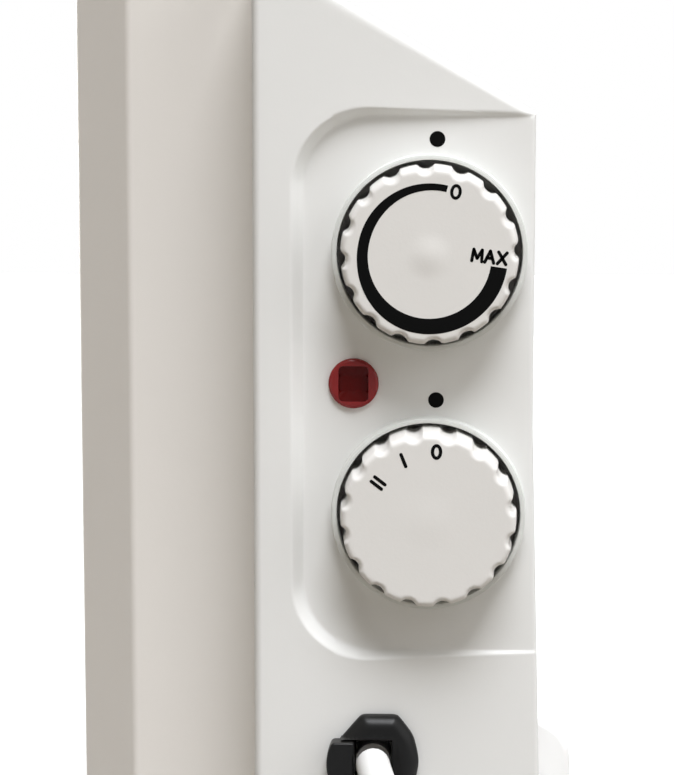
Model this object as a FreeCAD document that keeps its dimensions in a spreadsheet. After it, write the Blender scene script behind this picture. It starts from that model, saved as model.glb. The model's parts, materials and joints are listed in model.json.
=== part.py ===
import FreeCAD, Part
import math
import os
import re
import Sketcher
from FreeCAD import Placement, Rotation, Vector

# Panel convector heater, standing on two feet. Millimetres and degrees.
# +X is the control end, -Y the front, +Z up. The origin is on the floor under the middle of the heater.

SIZES = {
    # Steel body
    "body_length": 600,
    "body_height": 385,
    "floor_gap": 45,
    "rear_y": 51.4,
    "cap_depth": 64.4,
    "cap_width": 20,
    "roof_drop": 37.2,
    "cover_depth": 44.6,
    "cover_chamfer": 14,
    "sheet_wall": 1,
    "bend_radius": 2.5,
    "flange_lip": 14,
    "sheet_fit": 0.4,
    # Warm air outlet
    "outlet_margin": 75,
    "outlet_drop": 20,
    "outlet_height": 58,
    "grille_rim": 6,
    "grille_depth": 12,
    "blade_count": 6,
    "blade_pitch": 9,
    "blade_wall": 1.4,
    "blade_rise": 6,
    "rib_count": 5,
    "rib_width": 2,
    # Cold air inlet
    "slot_count": 34,
    "slot_margin": 29.5,
    "slot_width": 6,
    "slot_length": 34,
    "slot_bridge": 8,
    # Wall hanging
    "keyhole_spacing": 400,
    "keyhole_drop": 60,
    "keyhole_entry": 5,
    "keyhole_slot": 2.5,
    "keyhole_rise": 11,
    # End caps
    "cap_wall": 2.5,
    "face_wall": 6.8,
    "face_fall": 3.7,
    "cap_edge": 2,
    "rear_flare": 2.8,
    "flare_start": 40,
    "flare_run": 103,
    "recess_depth": 4,
    "recess_front": 27,
    "recess_top": 30.6,
    "recess_bottom": 33.9,
    "recess_corner": 14,
    "recess_draft": 45,
    # Knobs and their shafts
    "knob_inset": 24,
    "knob_drop": 69,
    "knob_pitch": 60.2,
    "knob_proud": 8.5,
    "knob_sunk": 8,
    "knob_radius": 20.3,
    "knob_draft": 0.4,
    "knob_edge": 1,
    "knob_skin": 2.6,
    "knob_dimple": 4,
    "dimple_depth": 0.7,
    "hub_radius": 6,
    "lobe_count": 16,
    "notch_radius": 2.4,
    "notch_depth": 1.1,
    "knob_gap": 0.9,
    "collar_wall": 1.1,
    "collar_below": 0.6,
    "shaft_radius": 3,
    "shaft_fit": 0.05,
    "shaft_grip": 8,
    # Control carrier and what it holds
    "carrier_depth": 10.5,
    "carrier_wall": 2.5,
    "carrier_width": 42,
    "carrier_overlap": 24,
    "carrier_grip": 2.5,
    "carrier_screw_drop": 12,
    "control_depth": 27,
    "thermostat_width": 30,
    "thermostat_height": 36,
    "selector_width": 26,
    "selector_height": 30,
    "nose_radius": 5,
    "nose_length": 4,
    "tab_length": 8,
    "tab_width": 6.3,
    "tab_wall": 0.8,
    "tab_pitch": 11,
    # Indicator
    "lens_shift": 17.2,
    "lens_radius": 5.6,
    "lens_stem": 4.9,
    "lens_rise": 1.2,
    "lens_length": 9,
    "lamp_radius": 2.6,
    "lamp_length": 10,
    "lens_crown": 4.4,
    # Cord grip and terminal block
    "grip_shift": 12.6,
    "grip_drop": 118.7,
    "grip_radius": 10.8,
    "grip_rise": 5,
    "grip_base": 1.3,
    "grip_seat": 2.4,
    "grip_neck": 7.9,
    "grip_length": 11,
    "grip_bore": 4.3,
    "grip_throat": 5.5,
    "grip_top": 10.9,
    "grip_bow": 8,
    "grip_shoulder": 3.2,
    "grip_bend": 3,
    "grip_cheek": 7,
    "grip_draft": 30,
    "grip_edge": 1.1,
    "wedge_rise": 1.2,
    "small_fit": 0.2,
    "close_fit": 0.1,
    "block_width": 26,
    "block_depth": 11,
    "block_height": 34,
    "block_drop": 34,
    "block_poles": 3,
    # Heating elements
    "shield_inset": 56,
    "bracket_inset": 34,
    "bracket_wall": 1.5,
    "bracket_height": 150,
    "bracket_depth": 66,
    "bracket_front": 16,
    "bracket_foot": 18,
    "element_lift": 58,
    "element_pitch": 52,
    "element_gap": 14,
    "fin_reach": 23,
    "fin_wall": 1.8,
    "core_radius": 6.5,
    "rod_radius": 4,
    "rod_overhang": 12,
    "pin_radius": 2,
    "pin_length": 14,
    "bush_radius": 7,
    "bush_flange": 9.5,
    "bush_wall": 4,
    "reflector_wall": 0.8,
    "reflector_margin": 20,
    "cutout_radius": 8,
    "cutout_depth": 6,
    # Feet
    "foot_width": 26,
    "foot_inset": 3,
    "foot_reach": 112,
    "foot_toe": 20,
    "foot_tip": 4,
    "foot_heel": 5,
    "foot_arch": 12,
    "foot_top": 247.6,
    "foot_lean": 9,
    "foot_back": 9.6,
    "foot_spread": 19,
    "foot_corner": 6,
    "foot_sweep": 26,
    "pad_height": 4,
    "pad_length": 24,
    "pad_margin": 2,
    # Fasteners
    "screw_radius": 1.7,
    "screw_head": 3.6,
    "screw_cap": 2.2,
    "screw_grip": 8,
    "screw_fit": 0.3,
    "boss_radius": 4,
    "boss_inset": 8,
    "boss_lift": 12,
    "boss_drop": 36,
    "foot_screw_radius": 2.2,
    "foot_screw_head": 4.6,
    "foot_screw_lift": 60,
    "foot_screw_pitch": 100,
    # Cord, its coil and its plug
    "cord_radius": 3.95,
    "lead_radius": 1.2,
    "core_pitch": 2.6,
    "lead_hole": 9,
    "lead_bend": 12,
    "duct_radius": 3.6,
    "coil_radius": 44,
    "coil_step": 10.6,
    "coil_layer_step": 8.6,
    "coil_turns": 2,
    "tail_reach": 56,
    "tie_wall": 1.2,
    "tie_width": 12,
    "tie_fit": 0.35,
    "plug_radius": 18,
    "plug_nose": 26,
    "plug_length": 44,
    "plug_neck": 7,
    "plug_tail": 5.6,
    "plug_sleeve": 16,
    "plug_pin_radius": 2.4,
    "plug_pin_length": 19,
    "plug_pin_spacing": 19,
}

doc = FreeCAD.newDocument("ConvectorHeater")
sheet = doc.addObject("Spreadsheet::Sheet", "Sizes")
for row, (alias, size) in enumerate(SIZES.items(), start=1):
    sheet.set(f"A{row}", alias)
    sheet.set(f"B{row}", str(size))
    sheet.setAlias(f"B{row}", alias)
doc.recompute()

# Places worked out from the sizes, as text that the sheet understands
TOP_Z = "(floor_gap + body_height)"
REAR_TOP_Z = f"({TOP_Z} - roof_drop)"
FACE_X = "((body_length - knob_proud) / 2)"
LEFT_X = "(-(body_length + knob_proud) / 2)"
STEEL_RIGHT = f"({FACE_X} - cap_width)"
STEEL_LEFT = f"({LEFT_X} + cap_width)"
CAP_FRONT = "(rear_y - cap_depth)"
FRONT_Y = f"({CAP_FRONT} - cover_depth)"
SLOPE = "(roof_drop / cap_depth)"
ROOF_WALL = "(sheet_wall * sqrt(cap_depth ^ 2 + roof_drop ^ 2) / cap_depth)"
BEND = "(sheet_wall * tan(22.5 deg))"
DECK_Z = "(floor_gap + 2 * sheet_wall)"
KNOB_Y = "(rear_y - knob_inset)"
THERMOSTAT_Z = f"({TOP_Z} - knob_drop)"
SELECTOR_Z = f"({THERMOSTAT_Z} - knob_pitch)"
PANEL_X = f"({FACE_X} - recess_depth)"
COLLAR_X = f"({FACE_X} - collar_below)"
CARRIER_X = f"({FACE_X} - carrier_depth)"
CONTROL_X = f"({CARRIER_X} - carrier_wall)"
KNOB_BACK = f"({FACE_X} - knob_sunk)"
WELL_RADIUS = "(knob_radius + knob_gap)"
COLLAR_RADIUS = f"({WELL_RADIUS} + collar_wall)"
LENS_Y = f"({KNOB_Y} - lens_shift)"
LENS_Z = f"(({THERMOSTAT_Z} + {SELECTOR_Z}) / 2)"
GRIP_Y = f"({KNOB_Y} - grip_shift)"
GRIP_Z = f"({THERMOSTAT_Z} - grip_drop)"
GRIP_SEAT_X = f"({FACE_X} - grip_seat)"
SHIELD_X = f"({STEEL_RIGHT} - shield_inset)"
BRACKET_FRONT = f"({FRONT_Y} + bracket_front)"
BRACKET_REAR = f"({BRACKET_FRONT} + bracket_depth)"
BRACKET_TOP = f"({DECK_Z} + bracket_height)"
RIGHT_BRACKET_X = f"({SHIELD_X} - bracket_inset)"
LEFT_BRACKET_X = f"({STEEL_LEFT} + bracket_inset)"
ELEMENT_Y = f"(({BRACKET_FRONT} + {BRACKET_REAR}) / 2)"
LOWER_ELEMENT_Z = f"({DECK_Z} + element_lift)"
UPPER_ELEMENT_Z = f"({LOWER_ELEMENT_Z} + element_pitch)"
OUTLET_LEFT = f"({STEEL_LEFT} + outlet_margin)"
OUTLET_RIGHT = f"({STEEL_RIGHT} - outlet_margin)"
OUTLET_TOP = f"({TOP_Z} - outlet_drop)"
OUTLET_LOW = f"({OUTLET_TOP} - outlet_height)"
GRILLE_FRONT = f"({FRONT_Y} + sheet_wall)"
GRILLE_REAR = f"({GRILLE_FRONT} + grille_depth)"
KEYHOLE_Z = f"({REAR_TOP_Z} - keyhole_drop)"
BLOCK_TOP = f"({GRIP_Z} - block_drop)"
BLOCK_Y = f"({CAP_FRONT} + cap_depth / 2)"
LEAD_HOLE_Z = f"({BLOCK_TOP} - block_height - lead_bend - lead_hole)"
CUTOUT_Y = f"({BRACKET_FRONT} + cutout_radius + bush_wall)"
CUTOUT_Z = f"({UPPER_ELEMENT_Z} + bush_flange + cutout_radius)"
PIN_END = f"({RIGHT_BRACKET_X} + bracket_wall + rod_overhang + pin_length)"
TAB_END = f"({CONTROL_X} - control_depth - tab_length)"
ENDS = (("left", STEEL_LEFT, LEFT_X), ("right", STEEL_RIGHT, FACE_X))

# The cord's free run, from the grip's mouth down to the floor and along it to the coil.
# Each point is set from the mouth of the grip: outwards, to the rear and up.
CORD_RUN = (
    (0, 0, 0),
    (14, 1.8, -1),
    (28.5, 5.4, -5),
    (41, 9.8, -14),
    (50, 13.8, -28),
    (54, 16.4, -46),
    (54.5, 17, -71),
    (53.5, 15, -103),
    (53, 11.5, -137),
    (53.5, 7, -167),
    (55, 0.5, -193),
    (56.5, -9, -213),
    (57.5, -21, -225.7),
    (57.9, -36, -233.2),
    (58, -53, -236.7),
    (58, -70, -236.7),
)


def bound(text):
    """Expression text with each size's name pointed at the sheet."""
    return re.sub(r"[a-z][a-z_]*", lambda word: f"Sizes.{word[0]}" if word[0] in SIZES else word[0], text)


def num(text):
    """Value of an expression over the sizes."""
    return float(sheet.evalExpression(bound(text)))


def spot(x, y, z):
    """Point from three expressions."""
    return Vector(num(x), num(y), num(z))


def bind(item, **properties):
    for name, text in properties.items():
        item.setExpression(name, bound(text))
    return item


def put(item, x, y, z):
    for axis, text in zip("xyz", (x, y, z)):
        item.setExpression(f"Placement.Base.{axis}", bound(text))
    return item


nodes = []


def keep(item, label):
    """Make an object one of the heater's pieces."""
    item.Label = label
    nodes.append(item)
    return item


def box(name, x_span, y_span, z_span):
    item = doc.addObject("Part::Box", name)
    spans = (x_span, y_span, z_span)
    for size, (low, high) in zip(("Length", "Width", "Height"), spans):
        bind(item, **{size: f"({high}) - ({low})"})
    return put(item, *(low for low, high in spans))


TURNS = {
    "x": Rotation(Vector(0, 1, 0), 90),
    "y": Rotation(Vector(1, 0, 0), -90),
    "z": Rotation(),
}


def rod(name, axis, radius, span, across):
    """Round bar along an axis, with the other two coordinates of its centre line in across."""
    low, high = span
    item = doc.addObject("Part::Cylinder", name)
    item.Placement = Placement(Vector(), TURNS[axis])
    bind(item, Radius=radius, Height=f"({high}) - ({low})")
    places = dict(zip([other for other in "xyz" if other != axis], across))
    places[axis] = low
    return put(item, places["x"], places["y"], places["z"])


def fuse(name, *pieces):
    item = doc.addObject("Part::MultiFuse", name)
    item.Shapes = list(pieces)
    return item


def cut(name, base, *tools):
    item = doc.addObject("Part::Cut", name)
    item.Base = base
    item.Tool = tools[0] if len(tools) == 1 else fuse(name + "Tools", *tools)
    return item


def group(name, *pieces):
    """Several separate solids in one piece's file."""
    item = doc.addObject("Part::Compound", name)
    item.Links = list(pieces)
    return item


def new_body(name):
    return doc.addObject("PartDesign::Body", name)


def origin(owner, role):
    return next(feature for feature in owner.Origin.OriginFeatures if feature.Role == role)


def new_sketch(owner, name, role, offset):
    sketch = owner.newObject("Sketcher::SketchObject", name)
    sketch.AttachmentSupport = [(origin(owner, role), "")]
    sketch.MapMode = "FlatFace"
    return bind(sketch, **{"AttachmentOffset.Base.z": offset})


def hold(sketch, kind, text, *places):
    """Dimension in a sketch, driven by an expression."""
    index = sketch.addConstraint(Sketcher.Constraint(kind, *places, num(text)))
    bind(sketch, **{f"Constraints[{index}]": text})


def outline(owner, name, role, loops, offset="0"):
    """Sketch of closed polygons, each corner held from the origin by two distances."""
    sketch = new_sketch(owner, name, role, offset)
    for corners in loops:
        first = sketch.GeometryCount
        points = [Vector(num(across), num(along), 0) for across, along in corners]
        for start, end in zip(points, points[1:] + points[:1]):
            sketch.addGeometry(Part.LineSegment(start, end), False)
        for index, (across, along) in enumerate(corners):
            following = first + (index + 1) % len(corners)
            sketch.addConstraint(Sketcher.Constraint("Coincident", first + index, 2, following, 1))
            hold(sketch, "DistanceX", across, -1, 1, first + index, 1)
            hold(sketch, "DistanceY", along, -1, 1, first + index, 1)
    return sketch


def circles(owner, name, role, rounds, offset="0"):
    """Sketch of circles, each with its centre and radius held."""
    sketch = new_sketch(owner, name, role, offset)
    for across, along, radius in rounds:
        middle = Vector(num(across), num(along), 0)
        index = sketch.addGeometry(Part.Circle(middle, Vector(0, 0, 1), num(radius)), False)
        hold(sketch, "DistanceX", across, -1, 1, index, 3)
        hold(sketch, "DistanceY", along, -1, 1, index, 3)
        hold(sketch, "Radius", radius, index)
    return sketch


def rectangle(across, along):
    """Corners of a rectangle from its two spans."""
    return [(across[0], along[0]), (across[1], along[0]), (across[1], along[1]), (across[0], along[1])]


def pad(owner, sketch, length):
    feature = owner.newObject("PartDesign::Pad", sketch.Name + "Pad")
    feature.Profile = sketch
    return bind(feature, Length=length)


def pocket(owner, sketch, length=None, forward=False):
    """Cut a sketch out of a body, against its normal unless forward, and make sure that it cuts."""
    doc.recompute()
    before = owner.Shape.Volume
    feature = owner.newObject("PartDesign::Pocket", sketch.Name + "Pocket")
    feature.Profile = sketch
    feature.Reversed = forward
    if length is None:
        feature.Type = "ThroughAll"
    else:
        bind(feature, Length=length)
    doc.recompute()
    if owner.Shape.Volume >= before:
        raise RuntimeError(f"{feature.Name} removes nothing")
    return feature


def repeat(owner, feature, role, count, step):
    """Row of copies of a feature along one of the body's axes."""
    feature_row = owner.newObject("PartDesign::LinearPattern", feature.Name + "Row")
    feature_row.Originals = [feature]
    feature_row.Direction = (origin(owner, role), [""])
    bind(feature_row, Length=f"({count} - 1) * ({step})", Occurrences=count)
    owner.Tip = feature_row
    return feature_row


def round_edges(owner, feature, radius, chosen):
    """Fillet the edges of a feature that a test on their middle and direction chooses."""
    doc.recompute()
    names = []
    for number, edge in enumerate(feature.Shape.Edges, start=1):
        if edge.Degenerated:
            continue
        middle = edge.valueAt((edge.FirstParameter + edge.LastParameter) / 2)
        along = edge.tangentAt((edge.FirstParameter + edge.LastParameter) / 2)
        if chosen(middle, along):
            names.append(f"Edge{number}")
    if not names:
        raise RuntimeError(f"{feature.Name} has no edge to round")
    fillet = owner.newObject("PartDesign::Fillet", feature.Name + "Round")
    fillet.Base = (feature, names)
    return bind(fillet, Radius=radius)


def near(value, text):
    """Whether a coordinate lies where an expression says."""
    return abs(value - num(text)) < 0.01


def tray_corners(inset, bend):
    """Plan of the front cover's sides, front and chamfered corners, set in from the outside."""
    chamfer = f"(cover_chamfer + {bend})"
    left = f"({STEEL_LEFT} + {inset})"
    right = f"({STEEL_RIGHT} - {inset})"
    front = f"({FRONT_Y} + {inset})"
    corner = f"(cover_chamfer - {inset} + {bend})"
    return [
        (left, CAP_FRONT),
        (left, f"{FRONT_Y} + {chamfer}"),
        (f"{left} + {corner}", front),
        (f"{right} - {corner}", front),
        (right, f"{FRONT_Y} + {chamfer}"),
        (right, CAP_FRONT),
    ]


def make_front_cover():
    """Bent steel tray: front, chamfered corners, sides, flat top, bottom lip and the outlet's window."""
    cover = new_body("FrontCover")
    outer = tray_corners("0", "0")
    inner = tray_corners("sheet_wall", BEND)
    pad(cover, outline(cover, "CoverWalls", "XY_Plane", [outer + inner[::-1]], "floor_gap"), "body_height")
    top = pad(cover, outline(cover, "CoverTop", "XY_Plane", [outer], f"{TOP_Z} - sheet_wall"), "sheet_wall")
    bends = outer[1:5]

    def is_bend(middle, along):
        upright = abs(along.z) > 0.99
        return upright and any(near(middle.x, x) and near(middle.y, y) for x, y in bends)

    round_edges(cover, top, "bend_radius", is_bend)
    lip = rectangle((inner[2][0], inner[3][0]), (inner[2][1], f"{FRONT_Y} + flange_lip"))
    pad(cover, outline(cover, "CoverLip", "XY_Plane", [lip], "floor_gap"), "sheet_wall")
    window = rectangle((OUTLET_LEFT, OUTLET_RIGHT), (OUTLET_LOW, OUTLET_TOP))
    pocket(cover, outline(cover, "CoverWindow", "XZ_Plane", [window]), forward=True)
    keep(cover, "front_cover")


def make_outlet_grille():
    """Louvre insert: a rim behind the cover's window, rising blades and the ribs that carry them."""
    grille = new_body("OutletGrille")
    rim = rectangle(
        (f"{OUTLET_LEFT} - grille_rim", f"{OUTLET_RIGHT} + grille_rim"),
        (f"{OUTLET_LOW} - grille_rim", f"{OUTLET_TOP} + grille_rim"),
    )
    window = rectangle((OUTLET_LEFT, OUTLET_RIGHT), (OUTLET_LOW, OUTLET_TOP))
    pad(grille, outline(grille, "GrilleRim", "XZ_Plane", [rim, window], f"-{GRILLE_REAR}"), "grille_depth")
    stack = "((blade_count - 1) * blade_pitch + blade_rise + blade_wall)"
    low = f"({OUTLET_LOW} + (outlet_height - {stack}) / 2)"
    high = f"({low} + blade_rise)"
    blade = [
        (GRILLE_REAR, low),
        (GRILLE_FRONT, high),
        (GRILLE_FRONT, f"{high} + blade_wall"),
        (GRILLE_REAR, f"{low} + blade_wall"),
    ]
    length = f"{OUTLET_RIGHT} - {OUTLET_LEFT}"
    first_blade = pad(grille, outline(grille, "Blade", "YZ_Plane", [blade], OUTLET_LEFT), length)
    repeat(grille, first_blade, "Z_Axis", "blade_count", "blade_pitch")
    rib_step = f"(({OUTLET_RIGHT} - {OUTLET_LEFT} - rib_width) / (rib_count + 1))"
    rib = rectangle((f"{GRILLE_FRONT} + grille_depth / 2", GRILLE_REAR), (OUTLET_LOW, OUTLET_TOP))
    first_rib = pad(
        grille, outline(grille, "Rib", "YZ_Plane", [rib], f"{OUTLET_LEFT} + {rib_step}"), "rib_width"
    )
    repeat(grille, first_rib, "X_Axis", "rib_count", rib_step)
    keep(grille, "outlet_grille")


def make_back_panel():
    """Back, sloping roof and bottom lip bent from one sheet, with keyholes to hang the heater by."""
    panel = new_body("BackPanel")
    inside = "(rear_y - sheet_wall)"
    profile = [
        ("rear_y - flange_lip", "floor_gap"),
        ("rear_y", "floor_gap"),
        ("rear_y", REAR_TOP_Z),
        (CAP_FRONT, TOP_Z),
        (CAP_FRONT, f"{TOP_Z} - {ROOF_WALL}"),
        (inside, f"{REAR_TOP_Z} + {SLOPE} * sheet_wall - {ROOF_WALL}"),
        (inside, "floor_gap + sheet_wall"),
        ("rear_y - flange_lip", "floor_gap + sheet_wall"),
    ]
    length = f"{STEEL_RIGHT} - {STEEL_LEFT}"
    sheet_pad = pad(panel, outline(panel, "BackProfile", "YZ_Plane", [profile], STEEL_LEFT), length)

    def is_bend(middle, along):
        return abs(along.x) > 0.99 and near(middle.y, "rear_y")

    round_edges(panel, sheet_pad, "sheet_wall", is_bend)
    middle = f"(({STEEL_LEFT} + {STEEL_RIGHT}) / 2)"
    sides = [f"({middle} {sign} keyhole_spacing / 2)" for sign in "-+"]
    entries = [(x, KEYHOLE_Z, "keyhole_entry") for x in sides]
    ends = [(x, f"{KEYHOLE_Z} + keyhole_rise", "keyhole_slot") for x in sides]
    slots = [
        rectangle((f"{x} - keyhole_slot", f"{x} + keyhole_slot"), (KEYHOLE_Z, f"{KEYHOLE_Z} + keyhole_rise"))
        for x in sides
    ]
    pocket(panel, circles(panel, "KeyholeEntries", "XZ_Plane", entries))
    pocket(panel, outline(panel, "KeyholeSlots", "XZ_Plane", slots))
    pocket(panel, circles(panel, "KeyholeEnds", "XZ_Plane", ends))
    holes = [(x, z, "foot_screw_radius + screw_fit") for x in foot_middles() for z in FOOT_SCREWS]
    pocket(panel, circles(panel, "FootScrewHoles", "XZ_Plane", holes))
    keep(panel, "back_panel")


def make_bottom_grille():
    """Floor of the heater, resting on the lips of the cover and the back, with two rows of inlet slots."""
    grille = new_body("BottomGrille")
    gap = "(sheet_wall + sheet_fit)"
    corners = tray_corners(gap, f"({gap} * tan(22.5 deg))")
    rear = f"(rear_y - {gap})"
    corners[0] = (corners[0][0], rear)
    corners[-1] = (corners[-1][0], rear)
    pad(grille, outline(grille, "InletPlate", "XY_Plane", [corners], "floor_gap + sheet_wall"), "sheet_wall")
    start = f"({STEEL_LEFT} + slot_margin)"
    pitch = f"(({STEEL_RIGHT} - slot_margin - slot_width - {start}) / (slot_count - 1))"
    middle = f"(({FRONT_Y} + rear_y) / 2)"
    across = (start, f"{start} + slot_width")
    slots = [
        rectangle(across, (f"{middle} - slot_bridge / 2 - slot_length", f"{middle} - slot_bridge / 2")),
        rectangle(across, (f"{middle} + slot_bridge / 2", f"{middle} + slot_bridge / 2 + slot_length")),
    ]
    first = pocket(grille, outline(grille, "InletSlots", "XY_Plane", slots, DECK_Z), "2 * sheet_wall")
    repeat(grille, first, "X_Axis", "slot_count", pitch)
    keep(grille, "bottom_grille")


def end_corners(front, low, rear):
    """Profile of a wall under the sloping roof, from its front edge to the back panel."""
    return [
        (front, low),
        (rear, low),
        (rear, f"{TOP_Z} - {ROOF_WALL} - {SLOPE} * ({rear} - {CAP_FRONT})"),
        (CAP_FRONT, f"{TOP_Z} - {ROOF_WALL}"),
    ]


CAP_BOSSES = [
    (f"({CAP_FRONT} + cap_wall + boss_inset)", "(floor_gap + cap_wall + boss_lift)"),
    ("(rear_y - cap_wall - boss_inset)", "(floor_gap + cap_wall + boss_lift)"),
    (f"({CAP_FRONT} + cap_wall + boss_inset)", f"({TOP_Z} - boss_drop)"),
]
FOOT_SCREWS = ["(floor_gap + foot_screw_lift)", "(floor_gap + foot_screw_lift + foot_screw_pitch)"]


def foot_middles():
    """Middle of each foot along the heater."""
    return [
        f"({STEEL_LEFT} + foot_inset + foot_width / 2)",
        f"({STEEL_RIGHT} - foot_inset - foot_width / 2)",
    ]


def make_side_plates():
    """Steel ends of the body, behind the caps. The control end has a window for the controls."""
    for side, end, face in ENDS:
        low = STEEL_LEFT if side == "left" else f"({STEEL_RIGHT} - sheet_wall)"
        plate = new_body(f"{side.title()}SidePlate")
        corners = end_corners(CAP_FRONT, DECK_Z, "(rear_y - sheet_wall)")
        pad(plate, outline(plate, f"{side.title()}Plate", "YZ_Plane", [corners], low), "sheet_wall")
        holes = [(y, z, "screw_radius + screw_fit") for y, z in CAP_BOSSES]
        hole_sketch = circles(plate, f"{side.title()}PlateHoles", "YZ_Plane", holes)
        pocket(plate, hole_sketch, forward=side == "right")
        if side == "right":
            reach = "(carrier_width / 2)"
            window = rectangle(
                (f"{KNOB_Y} - {reach}", f"{KNOB_Y} + {reach}"),
                (f"{SELECTOR_Z} - carrier_overlap", f"{THERMOSTAT_Z} + carrier_overlap"),
            )
            pocket(plate, outline(plate, "ControlWindow", "YZ_Plane", [window]), forward=True)
            lead_hole = [(BLOCK_Y, LEAD_HOLE_Z, "lead_hole")]
            pocket(plate, circles(plate, "LeadHole", "YZ_Plane", lead_hole), forward=True)
        keep(plate, f"{side}_side_plate")


def cap_corners(inset):
    """Profile of an end cap, set in from its outside: sloping top, and a rear edge that flares below."""
    front = f"({CAP_FRONT} + {inset})"
    rear = f"(rear_y - {inset})"
    low = f"(floor_gap + {inset})"
    flare_top = f"({THERMOSTAT_Z} - flare_start)"
    top = f"({TOP_Z} - {inset} * (sqrt(1 + {SLOPE} ^ 2) + {SLOPE}))"
    return [
        (front, low),
        (f"{rear} + rear_flare", low),
        (f"{rear} + rear_flare", f"{flare_top} - flare_run"),
        (rear, flare_top),
        (rear, f"{top} - {SLOPE} * (cap_depth - 2 * {inset})"),
        (front, top),
    ]


def make_cap(side, end, face):
    """Moulded end cap: outer face falling to the rear, rounded rim, hollow back and screw bosses."""
    cap = new_body(f"{side.title()}EndCap")
    title = side.title()
    low = LEFT_X if side == "left" else STEEL_RIGHT
    block = pad(cap, outline(cap, f"{title}Cap", "YZ_Plane", [cap_corners("0")], low), "cap_width")
    outward = "-" if side == "left" else "+"
    overrun = "(2 * rear_flare + cap_edge)"
    beyond = f"({face} {outward} face_fall)"
    fallen = f"({face} - ({outward}1) * face_fall * (cap_depth + {overrun}) / cap_depth)"
    wedge = [
        (face, CAP_FRONT),
        (beyond, CAP_FRONT),
        (beyond, f"rear_y + {overrun}"),
        (fallen, f"rear_y + {overrun}"),
    ]
    slant = pocket(cap, outline(cap, f"{title}Slant", "XY_Plane", [wedge]), forward=True)
    reach = num("face_fall")

    def is_rim(middle, along):
        ahead_of_rear = middle.y < num("rear_y") - 1
        return ahead_of_rear and abs(middle.x - num(face)) <= reach and abs(along.x) < 0.5

    round_edges(cap, slant, "cap_edge", is_rim)
    depth = "cap_width - face_wall"
    hollow = outline(cap, f"{title}Hollow", "YZ_Plane", [cap_corners("cap_wall")], end)
    pocket(cap, hollow, depth, forward=side == "right")
    boss_low = STEEL_RIGHT if side == "right" else f"({STEEL_LEFT} - ({depth}))"
    bosses = [(y, z, "boss_radius") for y, z in CAP_BOSSES]
    pad(cap, circles(cap, f"{title}Bosses", "YZ_Plane", bosses, boss_low), depth)
    holes = [(y, z, "screw_radius + close_fit") for y, z in CAP_BOSSES]
    hole_sketch = circles(cap, f"{title}BossHoles", "YZ_Plane", holes, end)
    pocket(cap, hole_sketch, "screw_grip + screw_fit", forward=side == "right")
    return cap


CARRIER_HOLES = [
    (f"({KNOB_Y} + carrier_width / 2 - boss_radius)", LENS_Z),
    (f"({KNOB_Y} - carrier_width / 2 + boss_radius)", f"({LENS_Z} - carrier_screw_drop)"),
]


def make_right_cap():
    """Control end cap: sunk panel with drafted walls, two knob wells, seats for lens and cord grip."""
    cap = make_cap("right", STEEL_RIGHT, FACE_X)
    front, rear = f"({KNOB_Y} - recess_front)", "(rear_y + 2 * recess_corner)"

    def edges(y):
        """Both ends of the floor at a depth of the cap, one panel depth inside the opening."""
        depth = f"(recess_depth - face_fall * ({y} - {CAP_FRONT}) / cap_depth)"
        return f"{SELECTOR_Z} - recess_bottom + {depth}", f"{THERMOSTAT_Z} + recess_top - {depth}"

    floor = [(front, edges(front)[0]), (rear, edges(rear)[0])]
    floor += [(rear, edges(rear)[1]), (front, edges(front)[1])]
    panel = outline(cap, "PanelFloor", "YZ_Plane", [floor], PANEL_X)
    for corner in (0, 3):
        panel.fillet(corner, 1, num("recess_corner"))
    sunk = pocket(cap, panel, "2 * recess_depth", forward=True)
    bind(sunk, TaperAngle="recess_draft")
    wells = [(KNOB_Y, THERMOSTAT_Z), (KNOB_Y, SELECTOR_Z)]
    collars = [(y, z, COLLAR_RADIUS) for y, z in wells]
    pad(cap, circles(cap, "Collars", "YZ_Plane", collars, CARRIER_X), f"{COLLAR_X} - {CARRIER_X}")
    pocket(cap, circles(cap, "Wells", "YZ_Plane", [(y, z, WELL_RADIUS) for y, z in wells]), forward=True)
    posts = [(y, z, "boss_radius") for y, z in CARRIER_HOLES]
    pad(cap, circles(cap, "CarrierPosts", "YZ_Plane", posts, CARRIER_X), "carrier_depth - face_wall")
    post_holes = [(y, z, "screw_radius + close_fit") for y, z in CARRIER_HOLES]
    hole_depth = "carrier_grip + screw_fit"
    pocket(cap, circles(cap, "PostHoles", "YZ_Plane", post_holes, CARRIER_X), hole_depth, forward=True)
    lens = [(LENS_Y, LENS_Z, "lens_stem + close_fit")]
    pocket(cap, circles(cap, "LensHole", "YZ_Plane", lens), forward=True)
    seat = [(GRIP_Y, GRIP_Z, "grip_radius + small_fit")]
    pocket(cap, circles(cap, "GripSeat", "YZ_Plane", seat, GRIP_SEAT_X), "2 * grip_seat", forward=True)
    neck = [(GRIP_Y, GRIP_Z, "grip_neck + close_fit")]
    pocket(cap, circles(cap, "GripHole", "YZ_Plane", neck), forward=True)
    keep(cap, "right_end_cap")


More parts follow.
